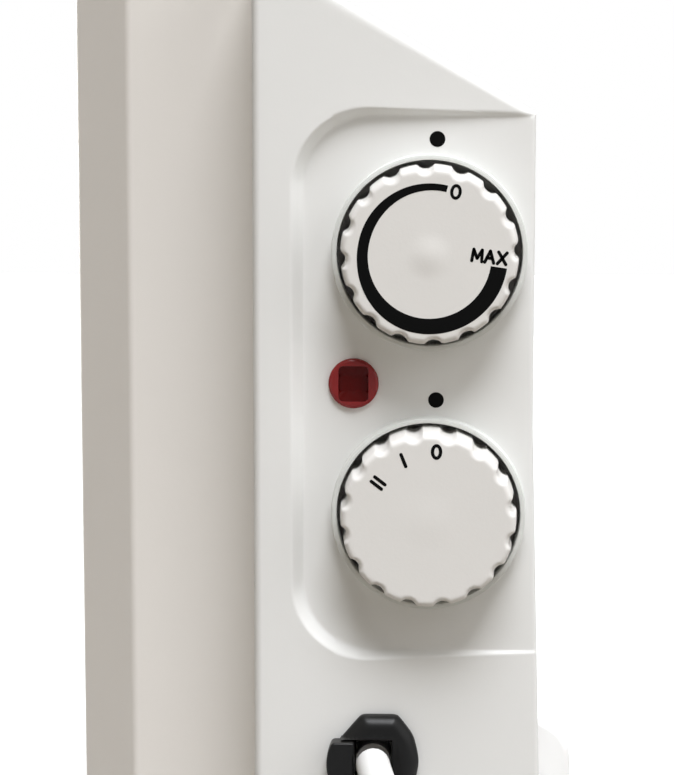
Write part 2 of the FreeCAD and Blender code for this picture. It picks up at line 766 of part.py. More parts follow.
def make_knob(label, z, turn):
    """Hollow knob with a scalloped skirt, a dished middle and a hub for its shaft, turned on the X axis."""
    title = label.title().replace("_", "")
    knob = new_body(title)
    height = "(knob_proud + knob_sunk)"
    under = f"({height} - knob_skin)"
    bore = "(shaft_radius + shaft_fit)"
    profile = [
        (f"{height} - dimple_depth", "0"),
        (height, "knob_dimple"),
        (height, "knob_radius - knob_draft"),
        ("knob_sunk", "knob_radius"),
        ("0", "knob_radius"),
        ("0", "knob_radius - knob_skin"),
        (under, "knob_radius - knob_draft - knob_skin"),
        (under, "hub_radius"),
        ("knob_sunk - shaft_grip", "hub_radius"),
        ("knob_sunk - shaft_grip", bore),
        ("knob_sunk", bore),
        ("knob_sunk", "0"),
    ]
    turned = knob.newObject("PartDesign::Revolution", title + "Turned")
    turned.Profile = outline(knob, title + "Profile", "XY_Plane", [profile])
    turned.ReferenceAxis = (origin(knob, "X_Axis"), [""])
    turned.Angle = 360
    rim = num("knob_radius - knob_draft")

    def is_rim(middle, along):
        return near(middle.x, height) and abs(math.hypot(middle.y, middle.z) - rim) < 0.01

    round_edges(knob, turned, "knob_edge", is_rim)
    notch_centre = "knob_radius + notch_radius - notch_depth"
    notch_round = [("0", notch_centre, "notch_radius")]
    notch = pocket(knob, circles(knob, title + "Notch", "YZ_Plane", notch_round), forward=True)
    lobes = knob.newObject("PartDesign::PolarPattern", title + "Lobes")
    lobes.Originals = [notch]
    lobes.Axis = (origin(knob, "X_Axis"), [""])
    lobes.Angle = 360
    bind(lobes, Occurrences="lobe_count")
    knob.Tip = lobes
    knob.Placement = Placement(Vector(), Rotation(Vector(1, 0, 0), turn))
    put(knob, KNOB_BACK, KNOB_Y, z)
    keep(knob, label)


def make_controls():
    """Carrier plate, thermostat, selector, their shafts and terminals, and the neon indicator."""
    carrier = new_body("ControlCarrier")
    half = "carrier_width / 2"
    plate = rectangle(
        (f"{KNOB_Y} - {half}", f"{KNOB_Y} + {half}"),
        (f"{SELECTOR_Z} - carrier_overlap", f"{THERMOSTAT_Z} + carrier_overlap"),
    )
    pad(carrier, outline(carrier, "CarrierPlate", "YZ_Plane", [plate], CONTROL_X), "carrier_wall")
    holes = [(KNOB_Y, z, "nose_radius + small_fit") for z in (THERMOSTAT_Z, SELECTOR_Z)]
    holes += [(y, z, "screw_radius + screw_fit") for y, z in CARRIER_HOLES]
    holes.append((LENS_Y, LENS_Z, "lens_stem + small_fit"))
    pocket(carrier, circles(carrier, "CarrierHoles", "YZ_Plane", holes), forward=True)
    keep(carrier, "control_carrier")

    for label, z, width, tall, tabs in (
        ("thermostat", THERMOSTAT_Z, "thermostat_width", "thermostat_height", 2),
        ("selector", SELECTOR_Z, "selector_width", "selector_height", 3),
    ):
        title = label.title()
        back = f"({CONTROL_X} - control_depth)"
        case = box(
            title + "Case",
            (back, CONTROL_X),
            (f"{KNOB_Y} - {width} / 2", f"{KNOB_Y} + {width} / 2"),
            (f"{z} - {tall} / 2", f"{z} + {tall} / 2"),
        )
        nose_end = f"({CONTROL_X} + nose_length)"
        nose = rod(title + "Nose", "x", "nose_radius", (CONTROL_X, nose_end), (KNOB_Y, z))
        shaft_end = f"({KNOB_BACK} + knob_sunk - shaft_fit)"
        shaft_start = f"({CONTROL_X} - control_depth / 2)"
        hole = rod(
            title + "Bore", "x", "shaft_radius + shaft_fit",
            (f"{shaft_start} - shaft_fit", nose_end), (KNOB_Y, z),
        )
        keep(cut(title + "Body", fuse(title + "Solid", case, nose), hole), f"{label}_body")
        shaft = rod(title + "Shaft", "x", "shaft_radius", (shaft_start, shaft_end), (KNOB_Y, z))
        keep(shaft, f"{label}_shaft")
        blades = []
        for index in range(tabs):
            middle = f"({KNOB_Y} + {index - (tabs - 1) / 2} * tab_pitch)"
            blades.append(box(
                f"{title}Tab{index}",
                (f"{back} - tab_length", back),
                (f"{middle} - tab_wall / 2", f"{middle} + tab_wall / 2"),
                (f"{z} - tab_width / 2", f"{z} + tab_width / 2"),
            ))
        keep(group(title + "Tabs", *blades), f"{label}_tabs")
        make_knob(f"{label}_knob", z, KNOB_TURNS[label])

    head = rod("LensHead", "x", "lens_radius", (PANEL_X, f"{PANEL_X} + lens_rise"), (LENS_Y, LENS_Z))
    stem = rod("LensStem", "x", "lens_stem", (f"{PANEL_X} - lens_length", PANEL_X), (LENS_Y, LENS_Z))
    socket = rod(
        "LensSocket", "x", "lamp_radius + shaft_fit",
        (f"{PANEL_X} - lens_length", f"{PANEL_X} - lens_crown"), (LENS_Y, LENS_Z),
    )
    keep(cut("Lens", fuse("LensSolid", head, stem), socket), "indicator_lens")
    lamp_tip = f"({PANEL_X} - lens_crown - small_fit)"
    lamp = rod("Lamp", "x", "lamp_radius", (f"{lamp_tip} - lamp_length", lamp_tip), (LENS_Y, LENS_Z))
    keep(lamp, "neon_lamp")


# Turn of each knob about its axis, so that its lobes lie as photographed
KNOB_TURNS = {"thermostat": 2.8, "selector": 9.5}


def make_cord_grip():
    """Cord grip in the end cap, its wedge that clamps the cord, and the terminal block behind it."""
    flange_end = f"({GRIP_SEAT_X} + grip_rise)"
    base_end = f"({GRIP_SEAT_X} + grip_base)"
    neck_end = f"({GRIP_SEAT_X} - grip_length)"
    grip = new_body("CordGrip")
    neck = [(GRIP_Y, GRIP_Z, "grip_neck")]
    pad(grip, circles(grip, "GripNeck", "YZ_Plane", neck, neck_end), "grip_length")
    base = [(GRIP_Y, GRIP_Z, "grip_radius")]
    pad(grip, circles(grip, "GripBase", "YZ_Plane", base, GRIP_SEAT_X), "grip_base")
    upper = [("-grip_cheek", "grip_throat"), ("-grip_shoulder", "grip_top"), ("grip_radius", "grip_top")]
    lower = [(across, f"-{along}") for across, along in reversed(upper)]
    corners = [(f"{GRIP_Y} + ({across})", f"{GRIP_Z} + ({along})") for across, along in upper + lower]
    head_sketch = outline(grip, "GripHead", "YZ_Plane", [corners], base_end)
    for corner, radius in ((1, "grip_bend"), (2, "grip_bow"), (3, "grip_bow"), (4, "grip_bend")):
        head_sketch.fillet(corner, 1, num(radius))
    head = pad(grip, head_sketch, f"{flange_end} - {base_end}")
    bind(head, TaperAngle="-grip_draft")

    def is_front(middle, along):
        return near(middle.x, flange_end)

    round_edges(grip, head, "grip_edge", is_front)
    throat = (f"{GRIP_Z} - grip_throat", f"{GRIP_Z} + grip_throat")
    bore = rectangle((f"{GRIP_Y} - grip_bore", f"{GRIP_Y} + grip_bore"), throat)
    pocket(grip, outline(grip, "GripBore", "YZ_Plane", [bore], neck_end), forward=True)
    slot = rectangle((f"{GRIP_Y} - 2 * grip_radius", GRIP_Y), throat)
    pocket(grip, outline(grip, "WedgeSlot", "YZ_Plane", [slot], base_end), forward=True)
    keep(grip, "cord_grip_body")
    wedge_end = f"({flange_end} + wedge_rise)"
    wedge = box(
        "WedgeBlock",
        (base_end, wedge_end),
        (f"{GRIP_Y} - grip_radius", f"{GRIP_Y} - grip_bore"),
        (f"{throat[0]} + small_fit", f"{throat[1]} - small_fit"),
    )
    drum = rod("WedgeDrum", "x", "grip_radius", (base_end, wedge_end), (GRIP_Y, GRIP_Z))
    round_wedge = doc.addObject("Part::Common", "Wedge")
    round_wedge.Base = wedge
    round_wedge.Tool = drum
    keep(round_wedge, "cord_grip_wedge")

    block = box(
        "BlockBody",
        (STEEL_RIGHT, f"{STEEL_RIGHT} + block_depth"),
        (f"{BLOCK_Y} - block_width / 2", f"{BLOCK_Y} + block_width / 2"),
        (f"{BLOCK_TOP} - block_height", BLOCK_TOP),
    )
    ways = []
    for pole in range(SIZES["block_poles"]):
        depth = f"({STEEL_RIGHT} + block_depth / 2)"
        ways.append(rod(
            f"BlockWay{pole}", "z", "lead_radius + small_fit",
            (f"{BLOCK_TOP} - block_height", BLOCK_TOP), (depth, way_y(pole)),
        ))
    keep(cut("Block", block, *ways), "terminal_block")


def make_elements():
    """Two finned elements on their brackets, with bushes, reflector, thermal cut-out and heat shield."""
    shield = new_body("HeatShield")
    front = f"({FRONT_Y} + sheet_wall)"
    corners = end_corners(front, DECK_Z, "(rear_y - sheet_wall)")
    corners.append((front, f"{TOP_Z} - {ROOF_WALL}"))
    pad(shield, outline(shield, "ShieldPlate", "YZ_Plane", [corners], SHIELD_X), "sheet_wall")
    heights = (LOWER_ELEMENT_Z, UPPER_ELEMENT_Z)
    ways = [(ELEMENT_Y, z, "bush_flange") for z in heights]
    ways.append((CUTOUT_Y, CUTOUT_Z, "duct_radius"))
    pocket(shield, circles(shield, "ShieldHoles", "YZ_Plane", ways), forward=True)
    keep(shield, "heat_shield")

    brackets = (
        ("left", f"({LEFT_BRACKET_X} - bracket_wall)", LEFT_BRACKET_X),
        ("right", RIGHT_BRACKET_X, f"({RIGHT_BRACKET_X} + bracket_wall)"),
    )
    for side, low, high in brackets:
        title = side.title()
        bracket = new_body(f"{title}Bracket")
        upright = rectangle((BRACKET_FRONT, BRACKET_REAR), (DECK_Z, BRACKET_TOP))
        pad(bracket, outline(bracket, f"{title}Upright", "YZ_Plane", [upright], low), "bracket_wall")
        foot_x = (f"{low} - bracket_foot", low) if side == "left" else (high, f"{high} + bracket_foot")
        foot = rectangle(foot_x, (BRACKET_FRONT, BRACKET_REAR))
        pad(bracket, outline(bracket, f"{title}BracketFoot", "XY_Plane", [foot], DECK_Z), "bracket_wall")
        holes = [(ELEMENT_Y, z, "bush_radius + small_fit") for z in heights]
        bores = circles(bracket, f"{title}BushHoles", "YZ_Plane", holes)
        pocket(bracket, bores, forward=side == "right")
        keep(bracket, f"{side}_element_bracket")

    inner = (f"({LEFT_BRACKET_X} + element_gap)", f"({RIGHT_BRACKET_X} - element_gap)")
    ends = (
        f"({LEFT_BRACKET_X} - bracket_wall - rod_overhang)",
        f"({RIGHT_BRACKET_X} + bracket_wall + rod_overhang)",
    )
    for name, z in (("lower", LOWER_ELEMENT_Z), ("upper", UPPER_ELEMENT_Z)):
        title = name.title()
        fins = new_body(f"{title}Fins")
        length = f"{inner[1]} - {inner[0]}"
        core = [(ELEMENT_Y, z, "core_radius")]
        pad(fins, circles(fins, f"{title}Core", "YZ_Plane", core, inner[0]), length)
        pad(fins, outline(fins, f"{title}Cross", "YZ_Plane", [fin_corners(z)], inner[0]), length)
        bore = [(ELEMENT_Y, z, "rod_radius + shaft_fit")]
        pocket(fins, circles(fins, f"{title}FinBore", "YZ_Plane", bore, inner[0]), length, forward=True)
        keep(fins, f"{name}_element_fins")
        sheath = rod(f"{title}Sheath", "x", "rod_radius", ends, (ELEMENT_Y, z))
        pin_span = (f"{ends[0]} - pin_length", f"{ends[1]} + pin_length")
        pins = rod(f"{title}Pins", "x", "pin_radius", pin_span, (ELEMENT_Y, z))
        keep(fuse(f"{title}Rod", sheath, pins), f"{name}_element_rod")
        for side, low, high in brackets:
            tag = f"{title}{side.title()}Bush"
            barrel = rod(f"{tag}Barrel", "x", "bush_radius", (low, high), (ELEMENT_Y, z))
            flanges = [
                rod(f"{tag}Inner", "x", "bush_flange", span, (ELEMENT_Y, z))
                for span in ((f"{low} - bush_wall", low), (high, f"{high} + bush_wall"))
            ]
            bore = rod(
                f"{tag}Bore", "x", "rod_radius + shaft_fit",
                (f"{low} - bush_wall", f"{high} + bush_wall"), (ELEMENT_Y, z),
            )
            keep(cut(tag, fuse(f"{tag}Solid", barrel, *flanges), bore), f"{name}_{side}_bush")

    reflector = box(
        "Reflector",
        (f"{LEFT_BRACKET_X} - bracket_wall", f"{RIGHT_BRACKET_X} + bracket_wall"),
        (BRACKET_REAR, f"{BRACKET_REAR} + reflector_wall"),
        (f"{DECK_Z} + reflector_margin", BRACKET_TOP),
    )
    keep(reflector, "reflector")
    disc = rod(
        "Cutout", "x", "cutout_radius",
        (f"{RIGHT_BRACKET_X} + bracket_wall", f"{RIGHT_BRACKET_X} + bracket_wall + cutout_depth"),
        (CUTOUT_Y, CUTOUT_Z),
    )
    keep(disc, "thermal_cutout")


def fin_corners(z):
    """Diagonal cross of an element's fins about the element's axis at height z."""
    tip = "(fin_reach * sqrt(0.5))"
    edge = "(fin_wall / 2 * sqrt(0.5))"
    notch = "(fin_wall * sqrt(0.5))"
    corners = []
    for across, along in (("+", "+"), ("-", "+"), ("-", "-"), ("+", "-")):
        flat = (f"{ELEMENT_Y} {across} ({tip} + {edge})", f"{z} {along} ({tip} - {edge})")
        steep = (f"{ELEMENT_Y} {across} ({tip} - {edge})", f"{z} {along} ({tip} + {edge})")
        inward = (ELEMENT_Y, f"{z} {along} {notch}")
        sideways = (f"{ELEMENT_Y} {across} {notch}", z)
        corners += [flat, steep, inward] if across == along else [steep, flat, sideways]
    return corners


def make_feet():
    """Two feet: a bar under the heater with an arched sole, and an upright screwed to the back panel."""
    top_rear = "(rear_y + foot_back)"
    top_fall = f"({SLOPE} * foot_back)"
    sole = [
        ("rear_y", "foot_top"),
        (top_rear, f"foot_top - {top_fall}"),
        ("rear_y + foot_spread", "floor_gap + foot_heel"),
        ("foot_reach - foot_tip", "foot_toe"),
        ("foot_reach", "pad_height"),
        ("foot_reach - pad_length - 2 * pad_margin", "pad_height"),
        ("foot_reach - pad_length - 2 * pad_margin - foot_arch", "foot_arch"),
        ("-(foot_reach - pad_length - 2 * pad_margin - foot_arch)", "foot_arch"),
        ("-(foot_reach - pad_length - 2 * pad_margin)", "pad_height"),
        ("-foot_reach", "pad_height"),
        ("-(foot_reach - foot_tip)", "foot_toe"),
        (f"{FRONT_Y} - foot_tip", "floor_gap"),
        ("rear_y", "floor_gap"),
    ]
    for side, middle in zip(("left", "right"), foot_middles()):
        title = side.title()
        foot = new_body(f"{title}Foot")
        low = f"({middle} - foot_width / 2)"
        blank = pad(foot, outline(foot, f"{title}Sole", "YZ_Plane", [sole], low), "foot_width")

        def at(*corners):
            places = [sole[corner] for corner in corners]

            def chosen(point, along):
                across = abs(along.x) > 0.99
                return across and any(near(point.y, y) and near(point.z, z) for y, z in places)

            return chosen

        soft = round_edges(foot, blank, "foot_corner", at(1, 3, 10))
        round_edges(foot, soft, "foot_sweep", at(2, 11))
        outer, inner = (low, f"{low} + foot_width") if side == "left" else (f"{low} + foot_width", low)
        lean = [(outer, "foot_top"), (inner, "foot_top - foot_lean"), (inner, "foot_top + foot_lean")]
        pocket(foot, outline(foot, f"{title}FootLean", "XZ_Plane", [lean]))
        holes = [(middle, z, "foot_screw_radius + screw_fit") for z in FOOT_SCREWS]
        pocket(foot, circles(foot, f"{title}FootHoles", "XZ_Plane", holes))
        keep(foot, f"{side}_foot")
        for end, span in (
            ("front", ("-(foot_reach - pad_margin)", "-(foot_reach - pad_margin - pad_length)")),
            ("rear", ("foot_reach - pad_margin - pad_length", "foot_reach - pad_margin")),
        ):
            pad_box = box(
                f"{title}{end.title()}Pad",
                (f"{low} + pad_margin", f"{low} + foot_width - pad_margin"),
                span,
                ("0", "pad_height"),
            )
            keep(pad_box, f"{side}_{end}_pad")


def make_fasteners():
    """Screws of the caps, the control carrier and the feet, each kind a group of separate solids."""
    screws = []
    for side, end, face in ENDS:
        inside = f"({end} - sheet_wall)" if side == "right" else f"({end} + sheet_wall)"
        for index, (y, z) in enumerate(CAP_BOSSES):
            tag = f"{side.title()}CapScrew{index}"
            if side == "right":
                shank = (inside, f"{end} + screw_grip")
                head = (f"{inside} - screw_cap", inside)
            else:
                shank = (f"{end} - screw_grip", inside)
                head = (inside, f"{inside} + screw_cap")
            screws.append(fuse(
                tag,
                rod(tag + "Shank", "x", "screw_radius", shank, (y, z)),
                rod(tag + "Head", "x", "screw_head", head, (y, z)),
            ))
    keep(group("CapScrews", *screws), "cap_screws")

    screws = []
    for index, (y, z) in enumerate(CARRIER_HOLES):
        tag = f"CarrierScrew{index}"
        screws.append(fuse(
            tag,
            rod(tag + "Shank", "x", "screw_radius", (CONTROL_X, f"{CARRIER_X} + carrier_grip"), (y, z)),
            rod(tag + "Head", "x", "screw_head", (f"{CONTROL_X} - screw_cap", CONTROL_X), (y, z)),
        ))
    keep(group("CarrierScrews", *screws), "carrier_screws")

    screws = []
    for side, middle in zip(("Left", "Right"), foot_middles()):
        for index, z in enumerate(FOOT_SCREWS):
            tag = f"{side}FootScrew{index}"
            heel = "(floor_gap + foot_heel)"
            lean = f"((foot_spread - foot_back) / (foot_top - {SLOPE} * foot_back - {heel}))"
            seat = f"(rear_y + foot_spread - {lean} * ({z} - foot_screw_head - {heel}))"
            screws.append(fuse(
                tag,
                rod(tag + "Shank", "y", "foot_screw_radius", ("rear_y - screw_grip", seat), (middle, z)),
                rod(tag + "Head", "y", "foot_screw_head", (seat, f"{seat} + screw_cap"), (middle, z)),
            ))
    keep(group("FootScrews", *screws), "foot_screws")


def bent_path(points):
    """Straight runs joined by the largest tangent arcs that their lengths allow."""
    edges = []
    last = points[0]
    for before, corner, after in zip(points, points[1:], points[2:]):
        inward = (before - corner).normalize()
        outward = (after - corner).normalize()
        half_turn = (math.pi - inward.getAngle(outward)) / 2
        reach = 0.45 * min((before - corner).Length, (after - corner).Length)
        radius = reach / math.tan(half_turn)
        start = corner + inward * reach
        end = corner + outward * reach
        toward = (inward + outward).normalize()
        middle = corner + toward * (radius / math.cos(half_turn) - radius)
        edges.append(Part.LineSegment(last, start).toShape())
        edges.append(Part.Arc(start, middle, end).toShape())
        last = end
    edges.append(Part.LineSegment(last, points[-1]).toShape())
    return Part.Wire(edges)


def tube(name, path, radius):
    """Round tube along a path, its volume compared with section times length."""
    start = path.Edges[0]
    ring = Part.Circle(start.valueAt(start.FirstParameter), start.tangentAt(start.FirstParameter), radius)
    shell = Part.BRepOffsetAPI.MakePipeShell(path)
    shell.add(Part.Wire([ring.toShape()]))
    shell.build()
    shell.makeSolid()
    solid = shell.shape()
    expected = math.pi * radius ** 2 * path.Length
    if abs(solid.Volume - expected) > 0.01 * expected:
        raise RuntimeError(f"{name} has {solid.Volume:.0f} mm3 where its path needs {expected:.0f}")
    item = doc.addObject("Part::Feature", name)
    item.Shape = solid
    item.Placement = Placement()
    return item


def wire(name, route):
    """Insulated wire held inside the heater, through points given as expressions."""
    return tube(name, bent_path([spot(*point) for point in route]), num("lead_radius"))


def way_y(pole):
    """Place across the heater of one of the terminal block's ways."""
    return f"({BLOCK_Y} + ({pole} - (block_poles - 1) / 2) * block_width / block_poles)"


def make_leads():
    """Wiring: the cord's end and cores, and the leads between block, controls, cut-out and elements."""
    neck_end = f"({GRIP_SEAT_X} - grip_length)"
    stub = rod("CordInlet", "x", "cord_radius", (neck_end, f"{GRIP_SEAT_X} + grip_base"), (GRIP_Y, GRIP_Z))
    keep(stub, "cord_inlet")
    depth = f"({STEEL_RIGHT} + block_depth / 2)"
    cores = []
    for pole in range(SIZES["block_poles"]):
        core_y = f"({GRIP_Y} + ({pole} - (block_poles - 1) / 2) * core_pitch)"
        cores.append(wire(f"CordCore{pole}", (
            (neck_end, core_y, GRIP_Z),
            (f"{depth} - 2 * lead_radius", core_y, GRIP_Z),
            (depth, way_y(pole), f"{BLOCK_TOP} + lead_bend"),
            (depth, way_y(pole), BLOCK_TOP),
        )))
    keep(group("CordCores", *cores), "cord_cores")

    block_low = f"({BLOCK_TOP} - block_height)"
    below = f"({block_low} - lead_bend / 2)"
    inside = f"({STEEL_RIGHT} - 2 * lead_bend)"
    duct = f"({SHIELD_X} + sheet_wall + lead_bend)"
    turn = f"({TAB_END} - lead_bend)"
    live_y = f"({BLOCK_Y} - lead_hole / 2)"
    neutral_y = f"({BLOCK_Y} + lead_hole / 3)"
    earth = (f"{way_y(2)} + lead_radius", f"{below} - lead_bend")
    tab_y = {step: f"({KNOB_Y} + ({step}) * tab_pitch)" for step in (-1, -0.5, 0, 0.5, 1)}
    routes = {
        "live_lead": (
            (depth, way_y(0), block_low),
            (depth, way_y(0), below),
            (depth, live_y, LEAD_HOLE_Z),
            (inside, live_y, LEAD_HOLE_Z),
            (turn, live_y, f"{block_low} + lead_bend"),
            (turn, tab_y[-1], f"{SELECTOR_Z} - 2 * lead_bend"),
            (turn, tab_y[-1], SELECTOR_Z),
            (TAB_END, tab_y[-1], SELECTOR_Z),
        ),
        "neutral_lead": (
            (depth, way_y(1), block_low),
            (depth, way_y(1), below),
            (depth, neutral_y, LEAD_HOLE_Z),
            (inside, neutral_y, LEAD_HOLE_Z),
            (duct, ELEMENT_Y, f"{LEAD_HOLE_Z} + lead_bend"),
            (duct, CUTOUT_Y, CUTOUT_Z),
            (f"{RIGHT_BRACKET_X} + bracket_wall + cutout_depth", CUTOUT_Y, CUTOUT_Z),
        ),
        "earth_lead": (
            (depth, way_y(2), block_low),
            (depth, way_y(2), below),
            (f"{depth} - lead_radius", *earth),
            (STEEL_RIGHT, *earth),
        ),
        "jumper_lead": (
            (TAB_END, tab_y[1], SELECTOR_Z),
            (turn, tab_y[1], SELECTOR_Z),
            (turn, tab_y[0.5], THERMOSTAT_Z),
            (TAB_END, tab_y[0.5], THERMOSTAT_Z),
        ),
    }
    for name, y, z, target in (
        ("lower", tab_y[0], SELECTOR_Z, LOWER_ELEMENT_Z),
        ("upper", tab_y[-0.5], THERMOSTAT_Z, UPPER_ELEMENT_Z),
    ):
        routes[f"{name}_element_lead"] = (
            (TAB_END, y, z),
            (f"{TAB_END} - lead_bend / 2", y, z),
            (duct, y, f"{z} - 2 * lead_bend"),
            (duct, ELEMENT_Y, f"{target} + 2 * lead_bend"),
            (f"{duct} - lead_bend / 2", ELEMENT_Y, target),
            (PIN_END, ELEMENT_Y, target),
        )
    for label, route in routes.items():
        keep(wire(label.title().replace("_", ""), route), label)


def cord_points():
    """The cord's free run in the heater's frame."""
    mouth = spot(f"{GRIP_SEAT_X} + grip_rise", GRIP_Y, GRIP_Z)
    return [mouth + Vector(*step) for step in CORD_RUN]


def biarc(start, start_way, end, end_way):
    """Two arcs that meet smoothly between two points with given directions."""
    chord = end - start
    sum_way = start_way + end_way
    spread = 2 * (1 - start_way.dot(end_way))
    along = chord.dot(sum_way)
    if spread < 1e-9:
        reach = chord.Length ** 2 / (4 * chord.dot(end_way))
    else:
        reach = (math.sqrt(along ** 2 + spread * chord.Length ** 2) - along) / spread
    middle = (start + start_way * reach + end - end_way * reach) * 0.5
    middle_way = (end - end_way * reach - start - start_way * reach).normalize()
    return [arc_from(start, start_way, middle), arc_from(middle, middle_way, end)]


def arc_from(start, way, end):
    """Arc that leaves a point in a given direction and ends at another."""
    chord = end - start
    across = chord - way * chord.dot(way)
    if across.Length < 1e-6:
        return Part.LineSegment(start, end).toShape()
    radius = chord.Length ** 2 / (2 * across.Length)
    centre = start + across.normalize() * radius
    outward = ((start - centre) + (end - centre)).normalize()
    if chord.dot(way) < 0:
        outward = outward * -1
    return Part.Arc(start, centre + outward * radius, end).toShape()


def coil_path(joint):
    """Two layers of turns: in on the floor, up a layer in half a turn, out again, then a rising tail."""
    step = num("coil_step")
    climb = num("coil_layer_step")
    turns = num("coil_turns")
    outer = num("coil_radius") + step * turns / 2
    inner = outer - step * turns
    middle = joint + Vector(outer, 0, 0)
    quarters = 4 * int(turns)

    def place(quarter):
        """Radius and height after so many quarter turns."""
        if quarter <= quarters:
            return outer - step * quarter / 4, 0
        if quarter <= quarters + 2:
            return inner, climb * (quarter - quarters) / 2
        return inner + step * (quarter - quarters - 2) / 4, climb

    def at(quarter):
        radius, height = place(quarter)
        angle = math.pi + quarter * math.pi / 2
        return middle + Vector(radius * math.cos(angle), radius * math.sin(angle), height)

    total = 2 * quarters + 2
    points = [at(quarter) for quarter in range(total + 1)]
    delta = 0.001
    ways = [(at(quarter + delta) - at(quarter - delta)).normalize() for quarter in range(total + 1)]
    ways[0] = Vector(0, -1, 0)
    ways[-1] = Vector(0, 1, 0)
    lead = 2 * num("cord_radius")
    edges = [Part.LineSegment(points[0] - ways[0] * lead, points[0]).toShape()]
    for index in range(total):
        edges += biarc(points[index], ways[index], points[index + 1], ways[index + 1])
    tail = points[-1] + ways[-1] * num("tail_reach")
    tail.z = num("plug_radius")
    edges += biarc(points[-1], ways[-1], tail, ways[-1])
    edges.append(Part.LineSegment(tail, tail + ways[-1] * lead).toShape())
    return Part.Wire(edges), middle, tail + ways[-1] * lead


def least_gap(path, radius):
    """Smallest clear distance between stretches of a tube that are not neighbours along it."""
    spacing = radius / 2
    points = path.discretize(Distance=spacing)
    skip = int(4 * radius / spacing)
    nearest = min(
        (points[first] - points[second]).Length
        for first in range(len(points))
        for second in range(first + skip, len(points))
    )
    return nearest - 2 * radius


def coil_tie(middle, radius):
    """Band round the coil on its rear side, where the turns of both layers lie one over the other."""
    step = num("coil_step")
    spread = (num("coil_turns") - 1) * step / 2
    wide = num("tie_width")
    wall = num("tie_wall")
    rear = num("coil_radius") - step / 4
    sag = (wide / 2) ** 2 / (2 * (rear - spread - radius))
    reach = spread + radius + sag + num("tie_fit")
    low = middle.z - radius - num("tie_fit")
    tall = num("coil_layer_step") + 2 * (radius + num("tie_fit"))
    hole = Part.makeBox(wide, 2 * reach, tall)
    hole.translate(Vector(middle.x - wide / 2, middle.y + rear - reach, low))
    band = Part.makeBox(wide, 2 * (reach + wall), tall + 2 * wall)
    band.translate(Vector(middle.x - wide / 2, middle.y + rear - reach - wall, low - wall))
    tie = doc.addObject("Part::Feature", "Tie")
    tie.Shape = band.cut(hole)
    return tie


def make_cord():
    """Cord from the grip to the floor, its coil, the tie round the coil, and the plug at the end."""
    radius = num("cord_radius")
    points = cord_points()
    path = bent_path(points)
    radii = [edge.Curve.Radius for edge in path.Edges if isinstance(edge.Curve, Part.Circle)]
    print("cord radii", [round(bend) for bend in radii])
    keep(tube("Cord", path, radius), "mains_cord")
    lead = 2 * radius
    coil, middle, end = coil_path(points[-1] - Vector(0, lead, 0))
    print("coil gap", round(least_gap(coil, radius), 2), "cord length", round(path.Length + coil.Length))
    keep(tube("Coil", coil, radius), "cord_coil")
    keep(coil_tie(middle, radius), "cord_tie")

    plug = doc.addObject("Part::Feature", "Plug")
    sleeve = Part.makeCone(num("plug_tail"), num("plug_neck"), num("plug_sleeve"), end, Vector(0, 1, 0))
    shoulder = end + Vector(0, num("plug_sleeve"), 0)
    taper = num("plug_length") - num("plug_nose")
    flare = Part.makeCone(num("plug_neck"), num("plug_radius"), taper, shoulder, Vector(0, 1, 0))
    nose_start = shoulder + Vector(0, taper, 0)
    nose = Part.makeCylinder(num("plug_radius"), num("plug_nose"), nose_start, Vector(0, 1, 0))
    plug.Shape = sleeve.fuse([flare, nose]).removeSplitter()
    keep(plug, "plug_body")
    face = nose_start + Vector(0, num("plug_nose"), 0)
    pins = []
    for side in (-0.5, 0.5):
        root = face + Vector(side * num("plug_pin_spacing"), 0, 0)
        pins.append(Part.makeCylinder(num("plug_pin_radius"), num("plug_pin_length"), root, Vector(0, 1, 0)))
    pair = doc.addObject("Part::Feature", "PlugPins")
    pair.Shape = Part.makeCompound(pins)
    keep(pair, "plug_pins")


def write_pieces():
    """Check every object and piece, then write one file for each piece."""
    doc.recompute()
    for item in doc.Objects:
        if "Invalid" in item.State or "Error" in item.State:
            raise RuntimeError(f"{item.Label} failed: {item.State}")
    for item in nodes:
        if item.Shape.isNull() or not item.Shape.isValid():
            raise RuntimeError(f"{item.Label} has no valid shape")
    os.makedirs("parts", exist_ok=True)
    for item in nodes:
        item.Shape.exportStep(f"parts/{item.Label}.step")
    print(len(nodes), "pieces")


make_front_cover()
make_outlet_grille()
make_back_panel()
make_bottom_grille()
make_side_plates()
make_right_cap()
keep(make_cap("left", STEEL_LEFT, LEFT_X), "left_end_cap")
make_controls()
make_cord_grip()
make_elements()
make_feet()
make_fasteners()
make_leads()
make_cord()
write_pieces()
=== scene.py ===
import json
import logging
import math
from dataclasses import dataclass
from enum import Enum
from functools import cache
from typing import Sequence

